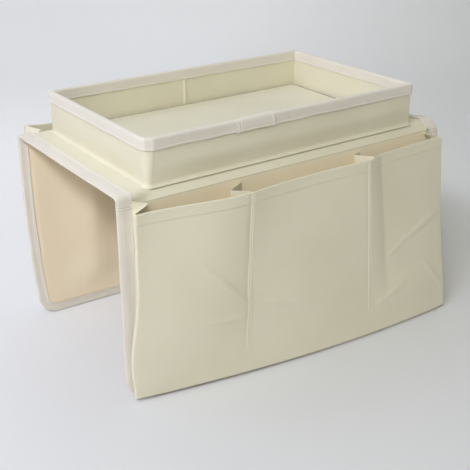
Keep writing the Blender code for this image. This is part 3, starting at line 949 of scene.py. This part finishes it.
def end_tape_place(sign, y, share):
    width = end_widths[sign] + edge_waver * unevenness(y, share * 0.02 + sign, edge_waver_pitch)
    inward, depth = tape_section(share, width, inner_width)
    depth = closed_up(depth, inward) + tape_relief(share, width, y, inner_width, tape_roll)
    sway = edge_sway * unevenness(y, 0.1 * sign + share * 0, end_sway_pitch)
    x = sign * (half_length - inward + sway * smooth((flat_half_width - abs(y)) / edge_sway_fade))
    return trimmed(x), y + middle_y, saddle_top - depth - shoulder_fall(x, y) - end_sag(x, y)


for end_name, sign in (("left", -1), ("right", 1)):
    columns = even_steps(-flat_half_width, flat_half_width, end_tape_pitch)
    place = partial(end_tape_place, sign)
    end_tape = cloth_piece(f"{end_name}_end_binding", columns, tape_rows(), place, white_tape, tape)
    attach(end_tape, "saddle")
    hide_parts(f"{end_name}_end_tape")

corner_turn = math.pi / 2 * hem_radius
hem_leg = half_length - hem_radius
binding_length = 2 * (side_leg + corner_turn + hem_leg)
width_ease = 0.014
binding_start = 0.004
crease_ribs_at = bend_length + 0.0025
crease_ribs_reach = 0.0036
crease_ribs_end = bend_length + 0.010
ribbed_pitch = 0.0004
plain_tape_pitch = 0.0016
turning_pitch = 0.0008
flap_sway_pitch = 0.04


def binding_edge(distance):
    """The flap's bound edge: its place as x and run, its inward heading and the tape's two widths."""
    along = np.minimum(distance, binding_length - distance)
    side_sign = np.where(distance < binding_length / 2, -1.0, 1.0)
    turn = np.clip((along - side_leg) / hem_radius, 0, math.pi / 2)
    across = np.maximum(along - side_leg - corner_turn, 0)
    x = half_length - hem_radius + hem_radius * np.cos(turn) - across
    run = np.minimum(along, side_leg) + hem_radius * np.sin(turn)
    turned_share = smooth(turn / (math.pi / 2))
    eased = smooth((along - 0.5 * bend_length) / width_ease)
    width = np.where(side_sign < 0, end_widths[-1], end_widths[1])
    width = width + (np.where(side_sign < 0, flap_widths[-1], flap_widths[1]) - width) * eased
    width = width + (hem_tape_width - width) * turned_share
    inner = inner_width + (hem_tape_width - inner_width) * turned_share
    return side_sign * x, run, -side_sign * np.cos(turn), -np.sin(turn), width, inner


def binding_stations():
    """Distances round a flap's binding, close together over the creases and round the corners."""
    half = stepped(
        0,
        (ribbed_pitch, crease_ribs_end),
        (plain_tape_pitch, side_leg),
        (turning_pitch, side_leg + corner_turn),
        (plain_tape_pitch, binding_length / 2),
    )
    return joined_steps(half, binding_length - half[::-1])


def binding_place(side, distance, share):
    x, run, in_x, in_run, width, inner = binding_edge(distance)
    along = np.minimum(distance, binding_length - distance)
    waver = edge_waver * unevenness(distance, share * 0.02, edge_waver_pitch)
    width = width + waver * smooth(along / binding_start)
    inward, depth = tape_section(share, width, inner)
    depth = depth + tape_relief(share, width, distance, inner, tape_roll)
    depth = depth + bunching(along, crease_ribs_at, crease_ribs_reach)
    sway = edge_sway * (unevenness(distance, 0.2, flap_sway_pitch) - 1)
    inward = inward - sway * smooth(along / edge_sway_fade)
    return skin(side, x + in_x * inward, run + in_run * inward, depth)


for side_name, side in sides.items():
    name = f"{side_name}_flap_binding"
    place = partial(binding_place, side)
    binding = cloth_piece(name, binding_stations(), tape_rows(), place, white_tape, tape)
    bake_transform(binding)
    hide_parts(f"{side_name}_flap_tape", "left_end_tape", "right_end_tape")


# Each pocket's panel is one sheet of the cream cloth, wider than the flap behind it.
# Its sides turn back, its foot turns under, and its mouth is folded in and stitched down.
pocket_half = half_length - 0.0094
pocket_lift = 0.0030
pocket_hem = 0.0105
pocket_foot_fold = 0.0060
pocket_side_return = 0.0020
side_fold_radius = 0.0013
ply_gap = 0.00075
seam_foot = pocket_lift + 0.0250
divider_shares = (-0.390, 0.382)
dividers = [share * pocket_half for share in divider_shares]
divider_lean = (-0.0074, -0.0031)
divider_wander = (0.0007, 0.0002)
slack_skew = (1.0, 0.85, 0.8)
belly_height = 0.0030
band_depth = 0.0042
band_width = 0.0190
band_return = 0.085
seam_ridge = 0.0005
seam_ridge_width = 0.0007
seam_hollow = (0.0009, 0.0004)
hollow_reach = 0.0040
hem_step = 0.0004
hem_step_reach = 0.0012
seam_start = 0.004
wander_lengths = (0.021, 0.0083)
fall_foot = 0.030
fall_reach = 0.035
panel_edge = pocket_half + pocket_side_return
panel_turn_reach = 0.003
panel_turn = pocket_half - panel_turn_reach
panel_pitch = 0.0016
panel_fine_pitch = 0.0004
panel_fold_pitch = 0.00025
panel_hem_pitch = 0.001
panel_turned_pitch = 0.0015
panel_foot_pitch = 0.002
seam_fine_left = 0.006
seam_fine_right = 0.004
hem_fine_reach = 0.002
drag_height = 0.0013
drag_reach = 0.0120
crumple_height = 0.0009
crumple_reach = 0.0030
sides["front"]["drag_shares"] = ((-0.76, 0.71, -0.42, 0.40), (-0.38, 0.54, 0.16, 0.20))
sides["rear"]["drag_shares"] = ((-0.60, 0.62, -0.20, 0.30), (0.30, 0.60, 0.72, 0.26))
sides["front"]["crumple_shares"] = (
    (-0.66, 0.36, -0.43, 0.33),
    (-0.33, 0.40, -0.18, 0.34),
    (-0.35, 0.49, 0.13, 0.21),
    (-0.69, 0.70, -0.43, 0.41),
    (0.44, 0.17, 0.64, 0.24),
    (0.53, 0.42, 0.65, 0.485),
    (0.65, 0.485, 0.95, 0.58),
    (0.82, 0.33, 0.99, 0.12),
    (-0.98, 0.12, -0.84, 0.03),
)
sides["rear"]["crumple_shares"] = ((-0.62, 0.30, -0.46, 0.38), (0.52, 0.22, 0.70, 0.30))


def drag_fold(side, x, z):
    """How far the panel's slanting folds lift it. Each runs between two places on the panel."""
    height = side["mouth"] - pocket_lift
    lift = np.zeros_like(x)
    for shares, rise, reach in (
        ("drag_shares", drag_height, drag_reach), ("crumple_shares", crumple_height, crumple_reach)
    ):
        for x0, z0, x1, z1 in side[shares]:
            start_x = x0 * pocket_half
            start_z = pocket_lift + z0 * height
            run_x = (x1 - x0) * pocket_half
            run_z = (z1 - z0) * height
            along = ((x - start_x) * run_x + (z - start_z) * run_z) / (run_x**2 + run_z**2)
            along = np.clip(along, 0, 1)
            away = np.hypot(x - start_x - along * run_x, z - start_z - along * run_z)
            lift = lift + rise * hump(away, reach) * np.sin(math.pi * (0.1 + 0.8 * along))
    return lift


def up_panel(side, z):
    """A height on the panel as a share of its own height."""
    return np.clip((z - pocket_lift) / (side["mouth"] - pocket_lift), 0, 1)


def mouth_out(side, share):
    """How far the mouth stands out along the panel: pushed out by the dividers, slack between."""
    stops = (-1, *divider_shares, 1)
    line = np.zeros_like(share)
    for i, (slack, skew) in enumerate(zip(side["mouth_slack"], slack_skew, strict=True)):
        along = np.clip((share - stops[i]) / (stops[i + 1] - stops[i]), 0, 1)
        start, end = side["mouth_out"][i : i + 2]
        hung = start + (end - start) * smooth(along) - slack * np.sin(math.pi * along**skew)
        line = np.where((share >= stops[i]) & (share <= stops[i + 1]), hung, line)
    return line


def seam_line(side, number, z):
    """A divider's seam leans to one side and wanders a little as it goes down."""
    height_share = up_panel(side, z)
    long, short = wander_lengths
    wander = np.sin(z / long + number) + 0.6 * np.sin(z / short + 2 * number)
    x = dividers[number] + divider_lean[number] * (1 - height_share)
    return x + divider_wander[number] * wander * smooth((1 - height_share) * 3)


def pocket_out(side, x, z):
    """How far the panel's outer face stands out from the plane of the crease."""
    share = x / pocket_half
    height_share = up_panel(side, z)
    mouth = mouth_out(side, share)
    foot = three_way(side["foot_out"], share)
    edges = [-pocket_half - seam_gap, *dividers, pocket_half + seam_gap]
    belly = np.zeros_like(x)
    for left, right in zip(edges[:-1], edges[1:], strict=True):
        inside = (x >= left) & (x <= right)
        belly = np.where(inside, np.sin(math.pi * (x - left) / (right - left)), belly)
    swell = belly_height * belly * np.sin(math.pi * height_share)
    past = x - seam_line(side, 1, z)
    width = band_width * (1.45 - 0.45 * height_share)
    band = np.clip(past / width, 0, 1) ** 1.5 * (1 - smooth((past - width) / band_return))
    fallen = band_depth * band * smooth((z - fall_foot) / fall_reach)
    return foot + (mouth - foot) * height_share + swell - fallen + drag_fold(side, x, z)


def seam_relief(side, x, z):
    """The raised fold at each divider's seam, the hollow it lies in, and the mouth hem's step."""
    relief = np.zeros_like(x)
    sewn = smooth((z - seam_foot) / seam_start)
    tight = 0.35 + 0.65 * smooth((z - seam_foot) / (side["mouth"] - seam_foot))
    for number, hollow in enumerate(seam_hollow):
        from_seam = x - seam_line(side, number, z)
        reach = np.where(from_seam < 0, hollow_reach, 0.3 * hollow_reach)
        dip = hollow * tight * hump(from_seam, reach)
        relief = relief + sewn * (seam_ridge * hump(from_seam, seam_ridge_width) - dip)
    return relief + hem_step * smooth((z - side["mouth"] + pocket_hem) / hem_step_reach)


def drawn(side, x, z):
    """The panel's edges: the upper corners drawn in and up by the hem, the lower left bowed out."""
    height_share = up_panel(side, z)
    rise = side["mouth_rise"] * np.minimum(np.abs(x) / pocket_half, 1) ** 4 * height_share
    left, right, bow = side["edge_draw"]
    bowed = bow * smooth((0.60 - height_share) / 0.42) * (1 - 0.25 * smooth(1 - height_share / 0.18))
    edge_draw = np.where(x < 0, left - bowed, right * smooth((1 - height_share) / 0.5))
    edge_share = smooth((np.abs(x) / pocket_half - 0.55) / 0.45)
    x = x - np.sign(x) * edge_draw * edge_share
    return x * (1 - side["mouth_draw"] * height_share**2), z + rise


def panel_columns():
    """Distances across the panel's cloth, fine at its turned sides and along the seams."""
    legs = [(panel_fine_pitch, -panel_turn)]
    for seam, lean in zip(dividers, divider_lean, strict=True):
        legs += [(panel_pitch, seam + lean - seam_fine_left), (panel_fine_pitch, seam + seam_fine_right)]
    return stepped(-panel_edge, *legs, (panel_pitch, panel_turn), (panel_fine_pitch, panel_edge))


ply_fold = math.pi * ply_gap / 2
foot_end = pocket_foot_fold + ply_fold


def panel_rows(side):
    """Distances up the panel's cloth: its turned foot, its face, and the hem folded in at the mouth."""
    top = foot_end + (side["mouth"] - pocket_lift) - 2 * ply_gap
    return stepped(
        0,
        (panel_foot_pitch, pocket_foot_fold),
        (panel_fold_pitch, foot_end),
        (panel_pitch, top - pocket_hem),
        (panel_fine_pitch, top - pocket_hem + hem_fine_reach),
        (panel_hem_pitch, top),
        (panel_fold_pitch, top + ply_fold),
        (panel_turned_pitch, top + ply_fold + pocket_hem),
    )


def panel_ply(side, distance):
    """Height, and how far behind the outer ply, for a distance up the panel's cloth."""
    top = foot_end + side["mouth"] - pocket_lift - 2 * ply_gap
    low = pocket_lift + ply_gap
    high = side["mouth"] - ply_gap
    turn_low = np.clip((distance - pocket_foot_fold) / ply_fold, 0, 1) * math.pi
    turn_high = np.clip((distance - top) / ply_fold, 0, 1) * math.pi
    z = low + np.maximum(pocket_foot_fold - distance, 0) + np.clip(distance - foot_end, 0, high - low)
    z = z - ply_gap / 2 * np.sin(turn_low) + ply_gap / 2 * np.sin(turn_high)
    z = z - np.maximum(distance - top - ply_fold, 0)
    behind = ply_gap / 2 * (1 + np.cos(turn_low)) + ply_gap / 2 * (1 - np.cos(turn_high))
    return z, behind


def from_crease(side, x, out, z):
    """A point that stands out from the plane of a side's crease."""
    return x, side["sign"] * (half_width + out) + middle_y, z


def panel_place(side, across, distance):
    z, behind = panel_ply(side, distance)
    over = np.abs(across) - (pocket_half - side_fold_radius)
    angle = np.clip(over / side_fold_radius, 0, math.pi / 2)
    radius = side_fold_radius - behind
    returned = np.maximum(over - math.pi / 2 * side_fold_radius, 0)
    x = np.where(over > 0, pocket_half - side_fold_radius + radius * np.sin(angle), np.abs(across))
    x = np.sign(across) * x
    inward = side_fold_radius - radius * np.cos(angle) + returned
    inward = np.where(over > 0, inward, behind)
    face_x = np.clip(across, -pocket_half, pocket_half)
    out = pocket_out(side, face_x, z) + seam_relief(side, face_x, z) - cloth / 2 - inward
    x, z = drawn(side, x, z)
    return from_crease(side, x, out, z)


for side_name, side in sides.items():
    place = partial(panel_place, side)
    panel = cloth_piece(f"{side_name}_pocket_face", panel_columns(), panel_rows(side), place)
    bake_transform(panel)
    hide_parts(f"{side_name}_pocket_panel")


# Two dividers and a pleated gusset at each end join the panel to the flap, in the same cloth.
# They are folded in a pleat between the panel and the flap, and a strip above the hem closes the pocket's
# foot.
pocket_floor_height = hem_tape_width + seam_gap
pocket_floor_half = half_length - max(hem_radius, side_tape_width + seam_gap)
divider_flap_shift = (0.0062, 0.0095)
divider_tip_shift = (-0.0140, -0.0020)
divider_tip_share = (0.50, 0.22)
divider_panel_shift = (0.0, 0.0100)
divider_foot_share = 0.16
gusset_fold_top = 0.0150
gusset_fold_foot = 0.0012
gusset_fold_start = 0.92
gusset_climb = 0.0036
gusset_lean = 0.0038


def strip_z(side, up_share, share):
    """A strip's height. Its top falls to the crease's foot where it meets the flap."""
    z = seam_foot + (side["mouth"] - seam_foot) * up_share
    at_flap = np.minimum(z, flap_top - seam_gap)
    return at_flap + (z - at_flap) * share


def tent(share):
    """A strip's fold: out to its middle and back, with a soft tip."""
    return 1 - np.sqrt((2 * share - 1) ** 2 + 0.01)


def strip_point(side, x, out, z, share):
    """A point of a strip, drawn along with the panel's edges the nearer it is to the panel."""
    drawn_x, drawn_z = drawn(side, x, z)
    return from_crease(side, x + (drawn_x - x) * share, out, z + (drawn_z - z) * share)


def divider_place(side, number, share, up_share):
    z = strip_z(side, up_share, share)
    seam = seam_line(side, number, z)
    second = (2 * share - 1 + np.sqrt((2 * share - 1) ** 2 + 0.004)) / 2
    first = 2 * share - second
    slack = divider_foot_share + (1 - divider_foot_share) * up_share
    tip_x = divider_tip_shift[number] * slack
    flap_x = divider_flap_shift[number] * slack
    panel_x = divider_panel_shift[number] * slack
    x = seam + flap_x + (tip_x - flap_x) * first + (panel_x - tip_x) * second
    out_share = divider_tip_share[number] * first + (1 - divider_tip_share[number]) * second
    start = flap_out(side, x, z) + cloth / 2 + back_ply + seam_gap
    end = pocket_out(side, seam + panel_x, z) - 2.2 * cloth - ply_gap - seam_hollow[number]
    return strip_point(side, x, start + (end - start) * out_share, z, share)


def gusset_place(side, end_sign, share, up_share):
    foot = pocket_floor_height + cloth + seam_gap
    top = flap_top + gusset_climb + (side["mouth"] - flap_top - gusset_climb) * share
    z = foot + (top - foot) * up_share
    opened = np.clip((up_share - gusset_fold_start) / (1 - gusset_fold_start), 0, 1) ** 2
    fold = gusset_fold_foot + (gusset_fold_top - gusset_fold_foot) * opened
    flap_seam = pocket_floor_half - cloth + gusset_lean * up_share
    panel_seam = pocket_half - 1.6 * cloth
    x = end_sign * (flap_seam + (panel_seam - flap_seam) * share - fold * tent(share))
    start = flap_out(side, x, z) + cloth / 2
    edge = end_sign * pocket_half
    end = pocket_out(side, edge + 0 * x, z) - side_fold_radius - 2 * cloth
    return strip_point(side, x, start + (end - start) * share, z, share)


def pocket_base_place(side, x, share):
    z = pocket_floor_height + cloth / 2 + 0 * x
    start = flap_out(side, x, z) + cloth / 2
    end = pocket_out(side, x, z) - cloth - ply_gap
    return from_crease(side, x, start + (end - start) * share, z)


strip_share_pitch = 0.04
strip_rise_pitch = 0.02
strip_top_pitch = 0.005
base_share_pitch = 0.2
strip_columns = even_steps(0, 1, strip_share_pitch)
strip_rows = stepped(0, (strip_rise_pitch, gusset_fold_start), (strip_top_pitch, 1))
for side_name, side in sides.items():
    strips = []
    for number, seam in enumerate(dividers):
        place = partial(divider_place, side, number)
        strips.append((f"divider_{number + 1}", place, seam, side["strip_width"], 0.153))
    for end_name, end_sign in (("left", -1), ("right", 1)):
        place = partial(gusset_place, side, end_sign)
        strips.append((f"{end_name}_gusset", place, end_sign * pocket_half, side["gusset_width"], 0.168))
    for strip_name, place, x, width, length in strips:
        strip = cloth_piece(f"{side_name}_{strip_name}", strip_columns, strip_rows, place)
        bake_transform(strip)
        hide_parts(f"{side_name}_pocket_{strip_name}")
    columns = even_steps(-pocket_floor_half, pocket_floor_half, cloth_pitch)
    place = partial(pocket_base_place, side)
    base = cloth_piece(f"{side_name}_pocket_base", columns, even_steps(0, 1, base_share_pitch), place)
    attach(base, f"{side_name}_flap")
    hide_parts(f"{side_name}_pocket_floor")


# White thread holds the tapes, the hems and the welts, in rows of even lockstitch.
# Each stitch is a short round length of thread that dips into the cloth at both ends.
stitch_length = 0.0024
stitch_pitch = 0.0031
thread_radius = 0.00024
thread_rise = 0.00010
thread_stand = tape / 2 + thread_rise
sewn_pitch = 0.003
tape_sewn_pitch = 0.002
seam_inset = 0.0017
spun = dict(warp=0.0004, weft=0.0004, relief=0.00003, roughness=0.55, sheen=0.20)
white_thread = cloth_finish(
    "white_thread", colour=(0.88, 0.87, 0.82), dark=(0.80, 0.78, 0.72), light=(0.93, 0.92, 0.89), **spun
)
cream_thread = cloth_finish(
    "cream_thread", colour=(0.78, 0.755, 0.63), dark=(0.72, 0.69, 0.56), light=(0.86, 0.84, 0.73), **spun
)


def stitch_row(points, closed=False):
    """A row of stitches along a line of points on the cloth."""
    line = bpy.data.curves.new("sewn_line", "CURVE")
    line.dimensions = "3D"
    spline = line.splines.new("POLY")
    spline.points.add(len(points) - 1)
    spline.points.foreach_set("co", np.column_stack([points, np.ones(len(points))]).ravel())
    spline.use_cyclic_u = closed
    sewn_line = bpy.data.objects.new("sewn_line", line)
    bpy.context.scene.collection.objects.link(sewn_line)
    bpy.ops.object.select_all(action="DESELECT")
    bpy.ops.mesh.primitive_cylinder_add(
        vertices=6,
        radius=thread_radius,
        depth=0.6 * stitch_length,
        location=(stitch_length / 2, 0, 0),
        rotation=(0, math.pi / 2, 0),
    )
    row = bpy.context.object
    bpy.ops.object.transform_apply(location=True, rotation=True, scale=True)
    bpy.ops.object.mode_set(mode="EDIT")
    bpy.ops.mesh.select_mode(type="FACE")
    for end_sign in (-1, 1):
        bpy.ops.mesh.select_all(action="DESELECT")
        bpy.ops.object.mode_set(mode="OBJECT")
        for face in row.data.polygons:
            face.select = face.normal.x * end_sign > 0.9
        bpy.ops.object.mode_set(mode="EDIT")
        bpy.ops.mesh.extrude_region_move(
            TRANSFORM_OT_translate={"value": (end_sign * 0.2 * stitch_length, 0, -2 * thread_rise)}
        )
        bpy.ops.transform.resize(value=(1, 0.45, 0.45))
    bpy.ops.object.mode_set(mode="OBJECT")
    run = row.modifiers.new("run", "ARRAY")
    run.fit_type = "FIT_CURVE"
    run.curve = sewn_line
    run.use_relative_offset = False
    run.use_constant_offset = True
    run.constant_offset_displace = (stitch_pitch, 0, 0)
    follow = row.modifiers.new("follow", "CURVE")
    follow.object = sewn_line
    follow.deform_axis = "POS_X"
    bpy.ops.object.modifier_apply(modifier=run.name)
    bpy.ops.object.modifier_apply(modifier=follow.name)
    bpy.data.objects.remove(sewn_line)
    return row


def stitching(name, rows, thread=white_thread):
    """Rows of stitches joined as one piece."""
    bpy.ops.object.select_all(action="DESELECT")
    for row in rows:
        row.select_set(True)
    bpy.context.view_layer.objects.active = rows[0]
    if len(rows) > 1:
        bpy.ops.object.join()
    piece = bpy.context.object
    piece.name = name
    piece.data.name = name
    piece.data.materials.clear()
    piece.data.materials.append(thread)
    bpy.ops.object.shade_smooth_by_angle(angle=sharp_angle)
    return piece


def rows_of(points):
    """A place function's x, y and z, as rows."""
    return np.stack(np.broadcast_arrays(*points), axis=1)


def sewn_share(share_end, width, distances):
    """The share across a tape where its seam runs: an inset from the outer edge, 0, or the inner, 3."""
    return abs(share_end - seam_inset / (width - fold_centre)) + 0 * distances


rim_rows = []
normal_reach = 0.001
distances = even_steps(0, tray_stops[-1], tape_sewn_pitch)[:-1]
inner_x, inner_y = tray_point(distances, tray_stops, normal_reach, tray_radius)
outer_x, outer_y = tray_point(distances, tray_stops, 0, tray_radius)
normal = np.stack([outer_x - inner_x, outer_y - inner_y, 0 * distances], axis=1) / normal_reach
for share_end, outwards in ((0, 1), (3, -1)):
    points = rows_of(rim_tape_place(distances, sewn_share(share_end, rim_tape_width, distances)))
    rim_rows.append(stitch_row(points + normal * outwards * thread_stand, closed=True))
rim_stitching = stitching("rim_stitching", rim_rows)
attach(rim_stitching, "saddle")

end_rows = []
distances = even_steps(-flat_half_width, flat_half_width, tape_sewn_pitch)
for sign in (-1, 1):
    for share_end, outwards, width in ((0, 1, end_widths[sign]), (3, -1, inner_width)):
        points = rows_of(end_tape_place(sign, distances, sewn_share(share_end, width, distances)))
        end_rows.append(stitch_row(points + np.array([0, 0, outwards * thread_stand])))
end_stitching = stitching("end_stitching", end_rows)
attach(end_stitching, "saddle")

hem_ends = 0.002
hem_seams = (0.0016, pocket_hem - 0.0018)
for side_name, side in sides.items():
    rows = []
    distances = binding_stations()[::3]
    x, run, in_x, in_run, width, inner = binding_edge(distances)
    outside_depth = tape / 2 - tape_reach - thread_stand
    inside_depth = stack + tape_reach - tape / 2 + thread_stand
    for edge_width, depth in ((width, outside_depth), (inner, inside_depth)):
        inward = edge_width - seam_inset
        line = skin(side, x + in_x * inward, run + in_run * inward, depth + 0 * distances)
        rows.append(stitch_row(rows_of(line)))
    sewn_x = even_steps(-saddle_edge + side_tape_width, saddle_edge - side_tape_width, sewn_pitch)
    welt_run = side["welt_run"] + 2.4 * crease_welt_width
    line = skin(side, sewn_x, welt_run + 0 * sewn_x, -thread_rise + 0 * sewn_x)
    rows.append(stitch_row(rows_of(line)))
    flap_stitching = stitching(f"{side_name}_flap_stitching", rows)
    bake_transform(flap_stitching)

    rows = []
    lift = np.array([0, side["sign"] * (cloth / 2 + thread_rise), 0])
    mouth_distance = panel_rows(side)[-1] - pocket_hem - ply_fold
    sewn_x = even_steps(-pocket_half + hem_ends, pocket_half - hem_ends, sewn_pitch)
    for below in hem_seams:
        line = panel_place(side, sewn_x, mouth_distance - below + 0 * sewn_x)
        rows.append(stitch_row(rows_of(line) + lift))
    up = even_steps(seam_foot - pocket_lift, mouth_distance - pocket_foot_fold, sewn_pitch)
    up = up + pocket_foot_fold
    heights, _ = panel_ply(side, up)
    for number, _ in enumerate(dividers):
        line = panel_place(side, seam_line(side, number, heights) + 2 * seam_ridge_width, up)
        rows.append(stitch_row(rows_of(line) + lift))
    pocket_stitching = stitching(f"{side_name}_pocket_stitching", rows, cream_thread)
    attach(pocket_stitching, f"{side_name}_pocket")


# The floor and backdrop are one pale sheet of paper, swept up behind the organizer.
# A long low window lights it from the front left, and a strip of sky from the left and above.
# The paper carries painted shade, darker towards the camera over the floor in front of the organizer, and
# painted light, a glow seen by the camera alone that makes it paler behind and at the left.
paper_reach = 2.2
sweep_radius = 0.9
sweep_start = 0.9
backdrop_height = 2.4
paper_pitch = 0.5
sweep_pitch = 0.08
paper_place = Vector((math.sin(-view_azimuth), math.cos(-view_azimuth), 0))


def paper_at(across, back):
    """A point on the paper: flat, then swept up behind, square to the camera's heading."""
    angle = np.clip((back - sweep_start) / sweep_radius, 0, math.pi / 2)
    above = np.maximum(back - sweep_start - sweep_radius * math.pi / 2, 0)
    far = np.minimum(back, sweep_start) + sweep_radius * np.sin(angle)
    height = sweep_radius * (1 - np.cos(angle)) + above
    x = view_right.x * across + paper_place.x * far
    y = view_right.y * across + paper_place.y * far
    return x, y, height


def reach_along(tree, place, heading):
    """How far a place lies along a heading."""
    return add_node(tree, "VectorMath", "Value", {0: place, 1: heading}, operation="DOT_PRODUCT")


paper, paper_tree, paper_shader, paper_spot = new_finish("pale_paper")
spot = paper_spot["Object"]
plain_paper = toned(paper_tree, noise(paper_tree, spot, 2.2, 1.5), (0.86, 0.87, 0.90), (0.92, 0.93, 0.96))
# Painted shade: the paper turns darker towards the camera, over the floor in front of the organizer's
# foot.
near = reach_along(paper_tree, spot, paper_place)
painted_shade_share = share_of(paper_tree, near, 0.45, -0.25, 1.0, interpolation_type="SMOOTHSTEP")
# Painted light: a glow that only the camera sees makes the paper paler behind and at the left.
left_behind = reach_along(paper_tree, spot, paper_place / 2 - view_right)
painted_light_share = share_of(paper_tree, left_behind, -0.15, 0.60, 0.20)
seen = paper_tree.nodes.new("ShaderNodeLightPath").outputs["Is Camera Ray"]
wire(paper_tree, paper_shader, {
    "Base Color": mixed(paper_tree, painted_shade_share, plain_paper, (0.74, 0.75, 0.78, 1)),
    "Emission Strength": add_node(paper_tree, "Math", 0, {0: painted_light_share, 1: seen}, operation="MULTIPLY"),
    "Emission Color": (0.88, 0.91, 1.0, 1),
    "Roughness": 0.9,
})
paper_columns = even_steps(-paper_reach, paper_reach, paper_pitch)
swept = sweep_start + sweep_radius * math.pi / 2
paper_end = sweep_start + backdrop_height
paper_legs = ((paper_pitch, sweep_start), (sweep_pitch, swept), (paper_pitch, paper_end))
studio = cloth_piece("studio_paper", paper_columns, stepped(-paper_reach, *paper_legs), paper_at, paper)
studio.data.transform(Matrix.Translation((0, 0, -cloth / 2)))


def lamp(name, place, wide, high, watts, colour):
    """A soft rectangular lamp turned towards the organizer, level along its width."""
    light = bpy.data.lights.new(name, "AREA")
    light.shape = "RECTANGLE"
    light.size = wide
    light.size_y = high
    light.energy = watts
    light.color = colour
    stand = bpy.data.objects.new(name, light)
    bpy.context.scene.collection.objects.link(stand)
    stand.location = place
    facing = Vector((0, 0, tray_top / 2)) - Vector(place)
    stand.rotation_euler = facing.to_track_quat("-Z", "Y").to_euler()


lamp("window_front", (-0.95, -1.10, 1.15), 0.4, 0.20, 4.3, (1.0, 0.96, 0.85))
lamp("window_middle", (-0.95, -0.70, 1.15), 0.4, 0.20, 5.0, (1.0, 1.0, 0.98))
lamp("window_rear", (-0.95, -0.30, 1.15), 0.4, 0.20, 4.4, (0.80, 0.86, 1.0))
lamp("window_behind", (-0.95, 0.50, 1.15), 1.2, 0.20, 3.6, (0.72, 0.74, 1.0))
lamp("warm_room_at_left", (-1.80, -1.30, 0.80), 1.4, 1.2, 2.6, (1.0, 0.62, 0.42))
lamp("sky_at_left", (-2.20, 0.00, 0.80), 1.4, 1.2, 2.7, (0.88, 0.85, 1.0))
lamp("ceiling_behind", (0.25, 0.90, 1.90), 1.4, 1.0, 4.3, (0.92, 0.94, 1.0))
world = bpy.data.worlds.new("pale_room")
world.use_nodes = True
world_tree = world.node_tree
room_light = world_tree.nodes["Background"]
wire(world_tree, room_light, {"Color": (1.0, 1.0, 0.83, 1), "Strength": 0.28})
pale_wall = add_node(world_tree, "Background", 0, {"Color": (0.66, 0.68, 0.71, 1)})
seen = world_tree.nodes.new("ShaderNodeLightPath").outputs["Is Camera Ray"]
room = add_node(world_tree, "MixShader", 0, {0: seen, 1: room_light.outputs[0], 2: pale_wall})
wire(world_tree, world_tree.nodes["World Output"], {"Surface": room})
bpy.context.scene.world = world
bpy.context.scene.view_settings.view_transform = "Standard"
